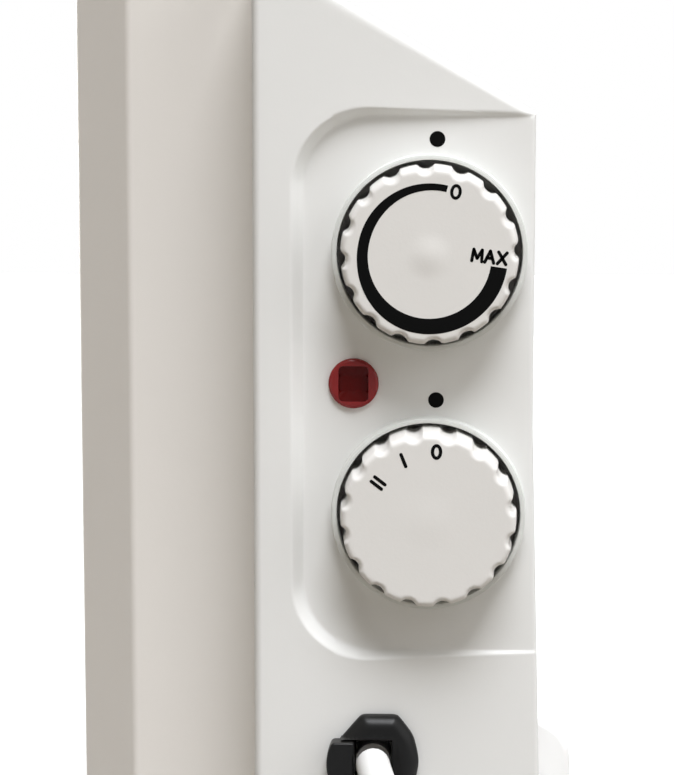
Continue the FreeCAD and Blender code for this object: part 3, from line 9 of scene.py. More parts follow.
import bmesh
import bpy
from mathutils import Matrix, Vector


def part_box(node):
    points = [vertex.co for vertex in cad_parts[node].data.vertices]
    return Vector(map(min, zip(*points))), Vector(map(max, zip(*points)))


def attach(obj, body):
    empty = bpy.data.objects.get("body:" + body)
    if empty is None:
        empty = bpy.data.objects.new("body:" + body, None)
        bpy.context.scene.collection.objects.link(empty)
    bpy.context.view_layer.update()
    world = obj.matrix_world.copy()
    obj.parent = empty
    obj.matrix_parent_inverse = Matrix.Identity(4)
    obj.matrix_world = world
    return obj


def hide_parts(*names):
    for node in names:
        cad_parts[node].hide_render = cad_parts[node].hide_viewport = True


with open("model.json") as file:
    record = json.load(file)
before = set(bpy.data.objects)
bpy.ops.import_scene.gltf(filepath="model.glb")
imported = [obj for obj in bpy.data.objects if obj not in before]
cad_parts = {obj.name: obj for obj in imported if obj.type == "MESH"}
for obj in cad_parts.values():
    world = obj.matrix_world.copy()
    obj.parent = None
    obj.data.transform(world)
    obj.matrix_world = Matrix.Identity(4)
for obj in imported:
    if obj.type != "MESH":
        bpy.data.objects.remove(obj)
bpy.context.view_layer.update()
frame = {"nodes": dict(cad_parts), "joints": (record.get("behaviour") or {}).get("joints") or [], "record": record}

# Finishes, printed marks, cord and studio of a convector heater, seen at its control end.
# Metres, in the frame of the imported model: +X is the control end, -Y the front, +Z up.

LOG = logging.getLogger("heater")
MM = 0.001
BODY = "heater"

Colour = tuple[float, float, float]
Point = tuple[float, float, float]
Flat = tuple[float, float]
Section = tuple[Flat, Flat]
Ribbon = tuple[list[Section], bool]

WHITE: Colour = (1.0, 1.0, 1.0)
CORD_AXIS: Flat = (14.8 * MM, 242.3 * MM)


@cache
def node_box(name: str) -> tuple[Vector, Vector]:
    """Lowest and highest corner of a node at rest."""
    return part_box(name)


def math_node(tree: bpy.types.NodeTree, operation: str, *values: object) -> bpy.types.NodeSocket:
    """Add a math node.

    Args:
        tree: Tree that the node goes in.
        operation: Name of the operation.
        values: Numbers or sockets, one for each input.

    Returns:
        The socket with the result.
    """
    node = tree.nodes.new("ShaderNodeMath")
    node.operation = operation
    for socket, value in zip(node.inputs, values):
        if isinstance(value, (int, float)):
            socket.default_value = value
        else:
            tree.links.new(value, socket)
    return node.outputs[0]


def colour_mix(tree: bpy.types.NodeTree, factor: bpy.types.NodeSocket, first: object,
               second: Colour) -> bpy.types.NodeSocket:
    """Add a node that mixes two colours.

    Args:
        tree: Tree that the node goes in.
        factor: Share of the second colour.
        first: First colour, or a socket that gives it.
        second: Second colour.

    Returns:
        The socket with the mixed colour.
    """
    node = tree.nodes.new("ShaderNodeMix")
    node.data_type = "RGBA"
    tree.links.new(factor, node.inputs["Factor"])
    if isinstance(first, tuple):
        node.inputs["A"].default_value = (*first, 1.0)
    else:
        tree.links.new(first, node.inputs["A"])
    node.inputs["B"].default_value = (*second, 1.0)
    return node.outputs["Result"]


class Relief(Enum):
    """Kind of fine relief that a finish carries."""

    SPARK = "SparkGrain"
    PEEL = "OrangePeel"
    DRAWN = "DrawnLines"


class SharedNodes:
    """Node groups that several finishes use, each built once.

    Attributes:
        dust_and_shade_colour: Colour of light dust and of the painted shade on what faces up.
        dust_and_shade_hold: How quickly that dust and painted shade thin out where a surface slopes.
        patch_detail: Detail of the broad patches.
        drawn_stretch: Scale of drawn lines along X, Y and Z.
        grain_detail: Detail of the fine relief.
        broad_scale: Patches of gloss in a metre.
        grain_share: Share of the fine relief in the gloss.
        gloss_middle: Middle of that mixture.
    """

    dust_and_shade_colour: Colour = (0.62, 0.60, 0.56)
    dust_and_shade_hold: float = 3.0
    patch_detail: float = 3.0
    drawn_stretch: Point = (0.02, 1.0, 1.0)
    grain_detail: float = 4.0
    broad_scale: float = 35.0
    grain_share: float = 0.6
    gloss_middle: float = 0.8

    @staticmethod
    def _new(name: str, inputs: Sequence[tuple[str, str]], outputs: Sequence[tuple[str, str]]
             ) -> tuple[bpy.types.NodeTree, bpy.types.Node, bpy.types.Node]:
        """Start a group with its sockets.

        Args:
            name: Name of the group.
            inputs: Label and kind of each input.
            outputs: Label and kind of each output.

        Returns:
            The group, its input node and its output node.
        """
        group = bpy.data.node_groups.new(name, "ShaderNodeTree")
        for side, sockets in (("INPUT", inputs), ("OUTPUT", outputs)):
            for label, kind in sockets:
                group.interface.new_socket(label, in_out=side, socket_type=f"NodeSocket{kind}")
        return group, group.nodes.new("NodeGroupInput"), group.nodes.new("NodeGroupOutput")

    @classmethod
    def tint(cls) -> bpy.types.NodeTree:
        """Group that shades a colour in broad soft patches, and darkens what faces up with light dust and painted
        shade.

        Returns:
            The group, with inputs Colour, Amount, Scale, and Dust and painted shade.
        """
        found = bpy.data.node_groups.get("PatchedTint")
        if found:
            return found
        group, source, sink = cls._new(
            "PatchedTint",
            (("Colour", "Color"), ("Amount", "Float"), ("Scale", "Float"), ("Dust", "Float")),
            (("Colour", "Color"),),
        )
        where = group.nodes.new("ShaderNodeTexCoord")
        noise = group.nodes.new("ShaderNodeTexNoise")
        noise.inputs["Detail"].default_value = cls.patch_detail
        group.links.new(where.outputs["Object"], noise.inputs["Vector"])
        group.links.new(source.outputs["Scale"], noise.inputs["Scale"])
        centred = math_node(group, "SUBTRACT", noise.outputs[0], 0.5)
        swing = math_node(group, "MULTIPLY_ADD", centred, source.outputs["Amount"], 1.0)
        shade = group.nodes.new("ShaderNodeHueSaturation")
        group.links.new(swing, shade.inputs["Value"])
        group.links.new(source.outputs["Colour"], shade.inputs["Color"])
        # Painted shade: faces that point up are mixed towards a greyer colour, partly as light dust and partly as
        # shade that tones down tops under the strong top light.
        shape = group.nodes.new("ShaderNodeNewGeometry")
        upward = group.nodes.new("ShaderNodeSeparateXYZ")
        group.links.new(shape.outputs["Normal"], upward.inputs[0])
        facing = math_node(group, "MAXIMUM", upward.outputs["Z"], 0.0)
        upward_share = math_node(group, "POWER", facing, cls.dust_and_shade_hold)
        dust_and_shade_share = math_node(group, "MULTIPLY", upward_share, source.outputs["Dust"])
        patchy_dust_and_shade = math_node(group, "MULTIPLY", dust_and_shade_share, noise.outputs[0])
        dusted_and_shaded = colour_mix(group, patchy_dust_and_shade, shade.outputs["Color"], cls.dust_and_shade_colour)
        group.links.new(dusted_and_shaded, sink.inputs["Colour"])
        return group

    @classmethod
    def relief(cls, kind: Relief) -> bpy.types.NodeTree:
        """Group that gives the height and the roughness of one kind of relief.

        Args:
            kind: Spark-eroded grain, orange peel of paint, or lines of drawn metal.

        Returns:
            The group, with inputs Scale, Roughness and Spread.
        """
        found = bpy.data.node_groups.get(kind.value)
        if found:
            return found
        group, source, sink = cls._new(
            kind.value,
            (("Scale", "Float"), ("Roughness", "Float"), ("Spread", "Float")),
            (("Roughness", "Float"), ("Height", "Float")),
        )
        where = group.nodes.new("ShaderNodeTexCoord")
        stretch = group.nodes.new("ShaderNodeMapping")
        if kind is Relief.DRAWN:
            stretch.inputs["Scale"].default_value = cls.drawn_stretch
        group.links.new(where.outputs["Object"], stretch.inputs["Vector"])
        if kind is Relief.PEEL:
            fine = group.nodes.new("ShaderNodeTexVoronoi")
            fine.feature = "SMOOTH_F1"
        else:
            fine = group.nodes.new("ShaderNodeTexNoise")
            fine.inputs["Detail"].default_value = cls.grain_detail
        broad = group.nodes.new("ShaderNodeTexNoise")
        broad.inputs["Scale"].default_value = cls.broad_scale
        for texture in (fine, broad):
            group.links.new(stretch.outputs[0], texture.inputs["Vector"])
        group.links.new(source.outputs["Scale"], fine.inputs["Scale"])
        grain = fine.outputs[0]
        weak = math_node(group, "MULTIPLY", grain, cls.grain_share)
        mixed = math_node(group, "ADD", weak, broad.outputs[0])
        swing = math_node(group, "SUBTRACT", mixed, cls.gloss_middle)
        rough = math_node(
            group, "MULTIPLY_ADD", swing, source.outputs["Spread"], source.outputs["Roughness"])
        group.links.new(rough, sink.inputs["Roughness"])
        group.links.new(grain, sink.inputs["Height"])
        return group


@dataclass(frozen=True)
class Finish:
    """One surface finish: its colour, gloss and relief at their real scale.

    Attributes:
        name: Name of the material, which is also its slot in the record.
        colour: Linear base colour.
        roughness: Middle roughness.
        scale: Grains of the relief in a metre.
        depth: Height of the relief.
        patch: How far the colour shades in broad patches.
        dust_and_painted_shade: How much what faces up is darkened, by light dust and by painted shade.
        relief: Kind of fine relief.
        metallic: 1 for bare metal.
        clear: Share of light that passes through.
        glow: Strength of the light that it gives in its own colour.
        shine: Level of its reflections, 0.5 for a usual plastic.
        patch_scale: Broad patches in a metre.
        spread: How far the roughness swings.
    """

    name: str
    colour: Colour
    roughness: float
    scale: float
    depth: float
    patch: float = 0.04
    dust_and_painted_shade: float = 0.05
    relief: Relief = Relief.SPARK
    metallic: float = 0.0
    clear: float = 0.0
    glow: float = 0.0
    shine: float = 0.5
    patch_scale: float = 14.0
    spread: float = 0.12

    @staticmethod
    def _group(tree: bpy.types.NodeTree, group: bpy.types.NodeTree,
               values: dict[str, object]) -> bpy.types.Node:
        """Place a shared group in the material.

        Args:
            tree: Nodes of the material.
            group: The group.
            values: Value of each input.

        Returns:
            The group's node.
        """
        node = tree.nodes.new("ShaderNodeGroup")
        node.node_tree = group
        for label, value in values.items():
            node.inputs[label].default_value = value
        return node

    def material(self) -> bpy.types.Material:
        """Make the finish at its first use.

        Returns:
            The finish as a material.
        """
        found = bpy.data.materials.get(f"finish_{self.name}")
        if found:
            return found
        made = bpy.data.materials.new(f"finish_{self.name}")
        made.use_nodes = True
        tree = made.node_tree
        shader = tree.nodes["Principled BSDF"]
        shader.inputs["Metallic"].default_value = self.metallic
        shader.inputs["Specular IOR Level"].default_value = self.shine
        shader.inputs["Transmission Weight"].default_value = self.clear
        tint = self._group(tree, SharedNodes.tint(), {
            "Colour": (*self.colour, 1.0), "Amount": self.patch, "Scale": self.patch_scale,
            "Dust": self.dust_and_painted_shade,
        })
        tree.links.new(tint.outputs["Colour"], shader.inputs["Base Color"])
        if self.glow:
            tree.links.new(tint.outputs["Colour"], shader.inputs["Emission Color"])
            shader.inputs["Emission Strength"].default_value = self.glow
        grain = self._group(tree, SharedNodes.relief(self.relief), {
            "Scale": self.scale, "Roughness": self.roughness, "Spread": self.spread,
        })
        tree.links.new(grain.outputs["Roughness"], shader.inputs["Roughness"])
        bump = tree.nodes.new("ShaderNodeBump")
        bump.inputs["Distance"].default_value = self.depth
        tree.links.new(grain.outputs["Height"], bump.inputs["Height"])
        tree.links.new(bump.outputs["Normal"], shader.inputs["Normal"])
        return made


def metal(name: str, colour: Colour, roughness: float, scale: float, depth: float,
          patch: float = 0.04) -> Finish:
    """Bare drawn metal."""
    return Finish(name, colour, roughness, scale, depth, patch, relief=Relief.DRAWN, metallic=1.0)


def moulded(name: str, colour: Colour, roughness: float) -> Finish:
    """Plastic of the case, with a fine grain."""
    return Finish(name, colour, roughness, 1700.0, 0.000012, 0.02, shine=0.25)


def sleeve(name: str, colour: Colour, roughness: float = 0.4) -> Finish:
    """Sleeve of a lead."""
    return Finish(name, colour, roughness, 1500.0, 0.00001)


def paint(name: str, colour: Colour, roughness: float, dust_and_painted_shade: float, shine: float) -> Finish:
    """Baked paint on steel."""
    return Finish(name, colour, roughness, 900.0, 0.00001, 0.04, dust_and_painted_shade, Relief.PEEL, shine=shine)


FINISHES: dict[str, Finish] = {finish.name: finish for finish in (
    # The cover's strong darkening of what faces up is painted shade, which keeps its brightly lit top from turning
    # white.
    paint("cover_paint", (0.82, 0.79, 0.75), 0.42, 0.8, 0.25),
    paint("grille_paint", (0.075, 0.072, 0.07), 0.5, 0.15, 0.5),
    metal("zinc_steel", (0.62, 0.62, 0.60), 0.38, 900.0, 0.00001, 0.12),
    metal("bright_aluminium", (0.82, 0.83, 0.84), 0.2, 700.0, 0.000005),
    moulded("cap_plastic", (0.80, 0.80, 0.785), 0.4),
    moulded("foot_plastic", (0.92, 0.92, 0.915), 0.42),
    Finish("pad_rubber", (0.03, 0.03, 0.03), 0.8, 1100.0, 0.00004, 0.1, 0.2),
    metal("screw_steel", (0.55, 0.55, 0.54), 0.32, 2500.0, 0.00001),
    Finish("phenolic", (0.05, 0.035, 0.025), 0.45, 900.0, 0.00003, 0.15),
    metal("shaft_steel", (0.6, 0.6, 0.6), 0.25, 3000.0, 0.000006),
    metal("tab_brass", (0.72, 0.5, 0.2), 0.3, 2500.0, 0.000006),
    Finish("knob_plastic", (0.765, 0.75, 0.725), 0.42, 1500.0, 0.00002, 0.02, shine=0.25),
    Finish("lens_red", (0.23, 0.007, 0.007), 0.25, 700.0, 0.000006, shine=0.25),
    Finish("lamp_glass", (0.9, 0.55, 0.35), 0.08, 300.0, 0.000004, clear=0.8, glow=0.1),
    Finish("grip_nylon", (0.002, 0.002, 0.002), 0.34, 1500.0, 0.00001, 0.1, shine=0.16),
    Finish("block_nylon", (0.68, 0.66, 0.6), 0.5, 1200.0, 0.00002),
    metal("fin_aluminium", (0.72, 0.72, 0.73), 0.35, 1200.0, 0.00001),
    metal("rod_steel", (0.32, 0.3, 0.28), 0.45, 1500.0, 0.00001, 0.2),
    Finish("bush_ceramic", (0.75, 0.73, 0.68), 0.35, 800.0, 0.00002, 0.08),
    Finish("cord_pvc", (0.82, 0.815, 0.80), 0.45, 1600.0, 0.000015, 0.03, shine=0.25),
    Finish("tie_black", (0.02, 0.02, 0.02), 0.6, 1300.0, 0.00004, 0.1),
    Finish("plug_plastic", (0.79, 0.785, 0.77), 0.42, 1700.0, 0.000015, 0.03),
    metal("pin_nickel", (0.72, 0.71, 0.69), 0.18, 2500.0, 0.000004),
    sleeve("lead_brown", (0.14, 0.055, 0.025)),
    sleeve("lead_blue", (0.02, 0.08, 0.35)),
    sleeve("lead_green", (0.16, 0.36, 0.03)),
    sleeve("lead_grey", (0.3, 0.3, 0.3), 0.5),
)}
INK = Finish("printed_ink", (0.003, 0.003, 0.003), 0.7, 3000.0, 0.000004, 0.2, 0.0, shine=0.04)
WINDOW = Finish(
    "lens_window", (0.085, 0.0025, 0.002), 0.3, 900.0, 0.00008, dust_and_painted_shade=0.0, relief=Relief.PEEL,
    shine=0.08)
# Painted shade: the collar is the cap's white plastic, made darker and greener to stand in for the shade and
# reflections on the ring.
SHADED_COLLAR = moulded("collar_plastic", (0.68, 0.695, 0.67), 0.4)


def settle(piece: bpy.types.Object, body: str, finish: Finish) -> None:
    """Give a new piece its material and the body that it rides on.

    Args:
        piece: The new object.
        body: Body that carries it.
        finish: Finish that it shows.
    """
    piece.data.materials.append(finish.material())
    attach(piece, body)
    LOG.info("%s rides on %s in %s", piece.name, body, finish.name)


def mesh_piece(name: str, points: Sequence[Point], faces: Sequence[Sequence[int]],
               crease: float = 40.0) -> bpy.types.Object:
    """Make an object from points and faces.

    Args:
        name: Name of the object.
        points: Corners, in metres.
        faces: Corner numbers of each face.
        crease: Degrees between faces above which their edge stays sharp.

    Returns:
        The object, in the scene.
    """
    mesh = bpy.data.meshes.new(name)
    mesh.from_pydata(points, [], faces)
    clean = bmesh.new()
    clean.from_mesh(mesh)
    bmesh.ops.remove_doubles(clean, verts=clean.verts, dist=1e-7)
    bmesh.ops.recalc_face_normals(clean, faces=clean.faces)
    clean.to_mesh(mesh)
    clean.free()
    mesh.shade_smooth()
    mesh.set_sharp_from_angle(angle=math.radians(crease))
    piece = bpy.data.objects.new(name, mesh)
    bpy.context.scene.collection.objects.link(piece)
    return piece


def band(first: Sequence[int], second: Sequence[int]) -> list[tuple[int, ...]]:
    """Faces between two closed rows of as many corners."""
    return [(first[i - 1], first[i], second[i], second[i - 1]) for i in range(len(first))]


def ringed_piece(name: str, rings: Sequence[Sequence[Point]], crease: float = 40.0,
                 filled: tuple[bool, bool] = (True, True)) -> bpy.types.Object:
    """Join rings of points into one skin.

    Args:
        name: Name of the object.
        rings: Rings with the same number of points, each next to the one before.
        crease: Degrees between faces above which their edge stays sharp.
        filled: Whether the first and the last ring are filled.

    Returns:
        The object, in the scene.
    """
    around = len(rings[0])
    points = [point for ring in rings for point in ring]
    rows = [tuple(range(start, start + around)) for start in range(0, len(points), around)]
    faces = [row for row, fill in zip((rows[0], rows[-1]), filled) if fill]
    for first, second in zip(rows, rows[1:]):
        faces += band(first, second)
    return mesh_piece(name, points, faces, crease)


def ribbon_piece(name: str, ribbons: Sequence[Ribbon], low: float,
                 high: float) -> bpy.types.Object:
    """Make flat marks from cross-sections, as thin solids that face +X.

    Args:
        name: Name of the object.
        ribbons: Sections of each ribbon, and whether it closes on itself.
        low: X of the underside.
        high: X of the face.

    Returns:
        The object, in the scene.
    """
    points: list[Point] = []
    faces: list[tuple[int, ...]] = []
    for sections, closed in ribbons:
        rows = []
        for left, right in sections:
            rows.append(tuple(range(len(points), len(points) + 4)))
            points += [(low, *left), (high, *left), (high, *right), (low, *right)]
        for first, second in zip(rows, rows[1:]):
            faces += band(first, second)
        faces += band(rows[-1], rows[0]) if closed else [rows[0], rows[-1]]
    return mesh_piece(name, points, faces, crease=30.0)


def circle(around: int) -> list[float]:
    """Angles of a number of points round a circle."""
    return [2 * math.pi * step / around for step in range(around)]


def quarter(steps: int) -> list[float]:
    """Angles from nought to a right angle."""
    return [math.pi / 2 * step / steps for step in range(steps + 1)]


def polar(axis: Flat, radius: float, angle: float) -> Flat:
    """Point at a radius and an angle clockwise from the top, seen from the control end."""
    return axis[0] + radius * math.sin(angle), axis[1] + radius * math.cos(angle)


def leaning(centre: Flat, y: float, z: float, degrees: float) -> Flat:
    """Point beside and above the middle of a mark that leans clockwise."""
    along, up = math.cos(math.radians(degrees)), math.sin(math.radians(degrees))
    return centre[0] + y * along + z * up, centre[1] - y * up + z * along


def square_point(size: Flat, angle: float, corner: float) -> Flat:
    """Point of a rounded rectangle in a direction from its middle.

    Args:
        size: Width and height.
        angle: Direction, from the upright.
        corner: How square the corners are.

    Returns:
        Place across and up.
    """
    across, up = math.sin(angle), math.cos(angle)
    reach = abs(across / (size[0] / 2)) ** corner + abs(up / (size[1] / 2)) ** corner
    return across * reach ** (-1 / corner), up * reach ** (-1 / corner)


def stroke(start: Flat, end: Flat, width: float) -> Ribbon:
    """Straight mark with round ends.

    Args:
        start: Y and Z of one end.
        end: Y and Z of the other end.
        width: Width of the stroke.

    Returns:
        Sections of an open ribbon.
    """
    way = Vector(end) - Vector(start)
    along = way.normalized() if way.length else Vector((1.0, 0.0))
    across = Vector((-along.y, along.x))
    half, tip = width / 2, 1e-6
    turns = quarter(8)
    sections = []
    for centre, sign, order in ((Vector(start), -1, turns), (Vector(end), 1, turns[::-1])):
        for turn in order:
            reach = max(half * math.sin(turn), tip)
            middle = centre + along * (sign * half * math.cos(turn))
            sections.append((tuple(middle + across * reach), tuple(middle - across * reach)))
    return sections, False


def loop(centre: Flat, size: Flat, width: float, tilt: float) -> Ribbon:
    """Closed oval mark, such as a nought.

    Args:
        centre: Y and Z of its middle.
        size: Outer width and height.
        width: Width of the stroke.
        tilt: Degrees that it leans clockwise.

    Returns:
        Sections of a closed ribbon.
    """
    sections = []
    for angle in circle(40):
        pair = []
        for inset in (0.0, width):
            y = (size[0] / 2 - inset) * math.sin(angle)
            z = (size[1] / 2 - inset) * math.cos(angle)
            pair.append(leaning(centre, y, z, tilt))
        sections.append((pair[0], pair[1]))
    return sections, True


@dataclass(frozen=True)
class Knob:
    """Scalloped knob with a soft edge and a slightly raised middle.

    Attributes:
        body: Body that it turns with, which also names its node.
        phase: Degrees from the top to the first notch.
        radius: Radius of the skirt at the back.
        straight: Length of the skirt before it narrows.
        draft: How much narrower the skirt is at the face.
        edge: Radius of the edge between skirt and face.
        steps: Steps of that edge, and of the slope of the raised middle.
        lobes: Number of lobes.
        lobe_points: Points round a lobe.
        notch_radius: Radius of the hollow between two lobes.
        notch_depth: Depth of that hollow.
        fade: Share of its depth that the edge loses.
        ends: How far inside the edge the hollows thin out, and the share of depth left there.
        soft: How far the lobes' corners are softened.
        boss: Radius of the raised middle.
        boss_foot: Radii of the first and last ring of its slope, in radii of the middle.
        boss_rise: Height of the raised middle.
        ink_rise: Thickness of the print on the face.
    """

    body: str
    phase: float
    radius: float = 20.3 * MM
    straight: float = 8.0 * MM
    draft: float = 0.4 * MM
    edge: float = 1.4 * MM
    steps: int = 8
    lobes: int = 16
    lobe_points: int = 24
    notch_radius: float = 2.4 * MM
    notch_depth: float = 1.1 * MM
    fade: float = 0.1
    ends: tuple[Flat, ...] = ((0.5 * MM, 0.5), (1.2 * MM, 0.0))
    soft: float = 0.3 * MM
    boss: float = 4.6 * MM
    boss_foot: Flat = (1.25, 0.01)
    boss_rise: float = 0.34 * MM
    ink_rise: float = 0.03 * MM

    @property
    def node(self) -> str:
        """Name of the knob's node."""
        return f"{self.body}_knob"

    @property
    def axis(self) -> Flat:
        """Y and Z of the axis that the knob turns on."""
        joint = next(item for item in frame["joints"] if item["child"] == self.body)
        return joint["pos_m"][1], joint["pos_m"][2]

    @property
    def face(self) -> float:
        """X of the face."""
        return node_box(self.node)[1].x

    def _outline(self, reach: float, angle: float, share: float) -> float:
        """Radius of the scalloped outline.

        Args:
            reach: Radius at the top of the lobes.
            angle: Angle clockwise from the top.
            share: How much of the hollows' depth shows.

        Returns:
            The radius in that direction.
        """
        pitch = 2 * math.pi / self.lobes
        turn = (angle - math.radians(self.phase) + pitch / 2) % pitch - pitch / 2
        centre = reach + self.notch_radius - self.notch_depth
        aside = centre * math.sin(turn)
        if abs(aside) >= self.notch_radius or share <= 0:
            hollow = reach + 2 * self.soft
        else:
            hollow = centre * math.cos(turn) - math.sqrt(self.notch_radius ** 2 - aside ** 2)
        near = max(self.soft - abs(reach - hollow), 0.0)
        return reach - share * (reach - min(reach, hollow) + near ** 2 / (4 * self.soft))

    def _profile(self) -> list[Point]:
        """Profile of the knob, from its back to the middle of its face.

        Returns:
            X, radius and share of the hollows' depth of each ring.
        """
        back, face = node_box(self.node)[0].x, self.face
        rim = self.radius - self.draft
        profile = [(back, self.radius, 1.0), (back + self.straight, self.radius, 1.0)]
        for step, turn in enumerate(quarter(self.steps)):
            x = face - self.edge * (1 - math.sin(turn))
            reach = rim - self.edge * (1 - math.cos(turn))
            profile.append((x, reach, 1.0 - self.fade * step / self.steps))
        profile += [(face, rim - self.edge - inset, share) for inset, share in self.ends]
        first, last = self.boss_foot
        for step in range(self.steps + 1):
            reach = first + (last - first) * step / self.steps
            slope = (1 + math.cos(math.pi * reach / first)) / 2
            profile.append((face + self.boss_rise * slope, self.boss * reach, 0.0))
        return profile

    def build(self) -> None:
        """Build the knob in place of its node."""
        axis, angles = self.axis, circle(self.lobe_points * self.lobes)
        rings = [
            [(x, *polar(axis, self._outline(reach, angle, share), angle)) for angle in angles]
            for x, reach, share in self._profile()
        ]
        knob = ringed_piece(f"{self.body}_grip_knob", rings)
        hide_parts(self.node)
        settle(knob, self.body, FINISHES["knob_plastic"])

    def print_mark(self, name: str, ribbons: Sequence[Ribbon]) -> None:
        """Lay printed marks on the knob's face.

        Args:
            name: Name of the piece.
            ribbons: Ribbons of the marks.
        """
        low, high = self.face - self.ink_rise, self.face + self.ink_rise
        settle(ribbon_piece(name, ribbons, low, high), self.body, INK)


@dataclass(frozen=True)
class ThermostatDial:
    """Temperature marks of the upper knob: a swelling arc from nought to the highest setting.

    Attributes:
        knob: Knob that carries the marks.
        start: Degrees from the top where the arc starts, clockwise.
        sweep: Degrees that the arc runs anticlockwise.
        outer: Outer radius of the arc at its start, at each third and at its end.
        inner: Inner radius at the same places.
        steps: Steps along the arc.
        zero: Place of the nought from the knob's axis.
        nought: Width and height of the nought.
        label: Place of the word from the knob's axis.
        letter: Width and height of a letter of the word.
        pitch: Distance between letters, in widths.
        lean: Degrees that the word and the nought lean clockwise.
        width: Width of the strokes.
    """

    knob: Knob
    start: float = 14.4
    sweep: float = 275.6
    outer: tuple[float, ...] = (16.3 * MM, 16.2 * MM, 17.5 * MM, 17.5 * MM)
    inner: tuple[float, ...] = (14.8 * MM, 13.8 * MM, 14.0 * MM, 13.85 * MM)
    steps: int = 120
    zero: Flat = (5.8 * MM, 14.4 * MM)
    nought: Flat = (2.6 * MM, 3.5 * MM)
    label: Flat = (13.45 * MM, -0.05 * MM)
    letter: Flat = (2.25 * MM, 2.6 * MM)
    pitch: float = 1.24
    lean: float = 6.5
    width: float = 0.72 * MM

    @staticmethod
    def _between(values: tuple[float, ...], share: float) -> float:
        """Value at a share of the way along a list of evenly spaced values.

        Args:
            values: The list.
            share: Share of the way.

        Returns:
            The value, with a smooth change from each to the next.
        """
        place = share * (len(values) - 1)
        index = min(int(place), len(values) - 2)
        blend = place - index
        blend = blend * blend * (3 - 2 * blend)
        return values[index] + (values[index + 1] - values[index]) * blend

    def _letters(self) -> list[Ribbon]:
        """Draw the word, letter by letter.

        Returns:
            Its strokes.
        """
        forms = (
            ((-0.5, -0.5, -0.42, 0.5), (-0.42, 0.5, 0.0, -0.25), (0.0, -0.25, 0.42, 0.5),
             (0.42, 0.5, 0.5, -0.5)),
            ((-0.45, -0.5, 0.0, 0.5), (0.0, 0.5, 0.45, -0.5), (-0.25, -0.12, 0.25, -0.12)),
            ((-0.42, -0.5, 0.42, 0.5), (-0.42, 0.5, 0.42, -0.5)),
        )
        wide, tall = self.letter
        centre = (self.knob.axis[0] + self.label[0], self.knob.axis[1] + self.label[1])
        strokes = []
        for index, form in enumerate(forms):
            middle = (index - 1) * wide * self.pitch
            for y0, z0, y1, z1 in form:
                start, end = (
                    leaning(centre, middle + y * wide, z * tall, self.lean)
                    for y, z in ((y0, z0), (y1, z1)))
                strokes.append(stroke(start, end, self.width))
        return strokes

    def build(self) -> None:
        """Print the arc, the nought and the word."""
        axis = self.knob.axis
        sections = []
        for step in range(self.steps + 1):
            share = step / self.steps
            angle = math.radians(self.start - self.sweep * share)
            outer, inner = (self._between(radii, share) for radii in (self.outer, self.inner))
            sections.append((polar(axis, outer, angle), polar(axis, inner, angle)))
        self.knob.print_mark("dial_arc", [(sections, False)])
        zero = (axis[0] + self.zero[0], axis[1] + self.zero[1])
        self.knob.print_mark("dial_zero", [loop(zero, self.nought, self.width, self.lean)])
        self.knob.print_mark("dial_max", self._letters())


@dataclass(frozen=True)
class SelectorDial:
    """Power marks of the lower knob: nought, one bar and two bars.

    Attributes:
        knob: Knob that carries the marks.
        zero: Radius and degrees from the top of the nought.
        one: Radius and degrees of the single bar.
        two: Radius and degrees of the pair of bars.
        nought: Width and height of the nought.
        bar: Length of a bar.
        gap: Distance between the bars of the pair.
        width: Width of the strokes.
    """

    knob: Knob
    zero: Flat = (16.1 * MM, 6.4)
    one: Flat = (15.1 * MM, -22.1)
    two: Flat = (14.4 * MM, -52.3)
    nought: Flat = (2.6 * MM, 3.6 * MM)
    bar: float = 2.9 * MM
    gap: float = 1.3 * MM
    width: float = 0.78 * MM

    def _at(self, place: Flat) -> Flat:
        """Y and Z at a radius and degrees from the top."""
        return polar(self.knob.axis, place[0], math.radians(place[1]))

    def _bar(self, place: Flat, aside: float) -> Ribbon:
        """Bar that points to the middle of the knob.

        Args:
            place: Radius and degrees of its middle.
            aside: Distance that it is moved sideways, clockwise.

        Returns:
            Sections of the bar.
        """
        middle = Vector(self._at(place))
        out = (middle - Vector(self.knob.axis)).normalized()
        middle += Vector((out.y, -out.x)) * aside
        reach = out * (self.bar / 2)
        return stroke(tuple(middle - reach), tuple(middle + reach), self.width)

    def build(self) -> None:
        """Print the nought and the bars."""
        zero = loop(self._at(self.zero), self.nought, self.width, 0.0)
        self.knob.print_mark("selector_zero", [zero])
        self.knob.print_mark("selector_one", [self._bar(self.one, 0.0)])
        pair = [self._bar(self.two, side * self.gap / 2) for side in (-1, 1)]
        self.knob.print_mark("selector_two", pair)


@dataclass(frozen=True)
class Bore:
    """Round hole in the face of a cap.

    Attributes:
        axis: Y and Z of its middle.
        radius: Radius of the hole.
        sides: Half width and half height of the square of the mesh round it.
    """

    axis: Flat
    radius: float
    sides: Flat

    def span(self, direction: int) -> Flat:
        """Ends of the square along Y, for 0, or along Z, for 1."""
        middle, half = self.axis[direction], self.sides[direction]
        return middle - half, middle + half


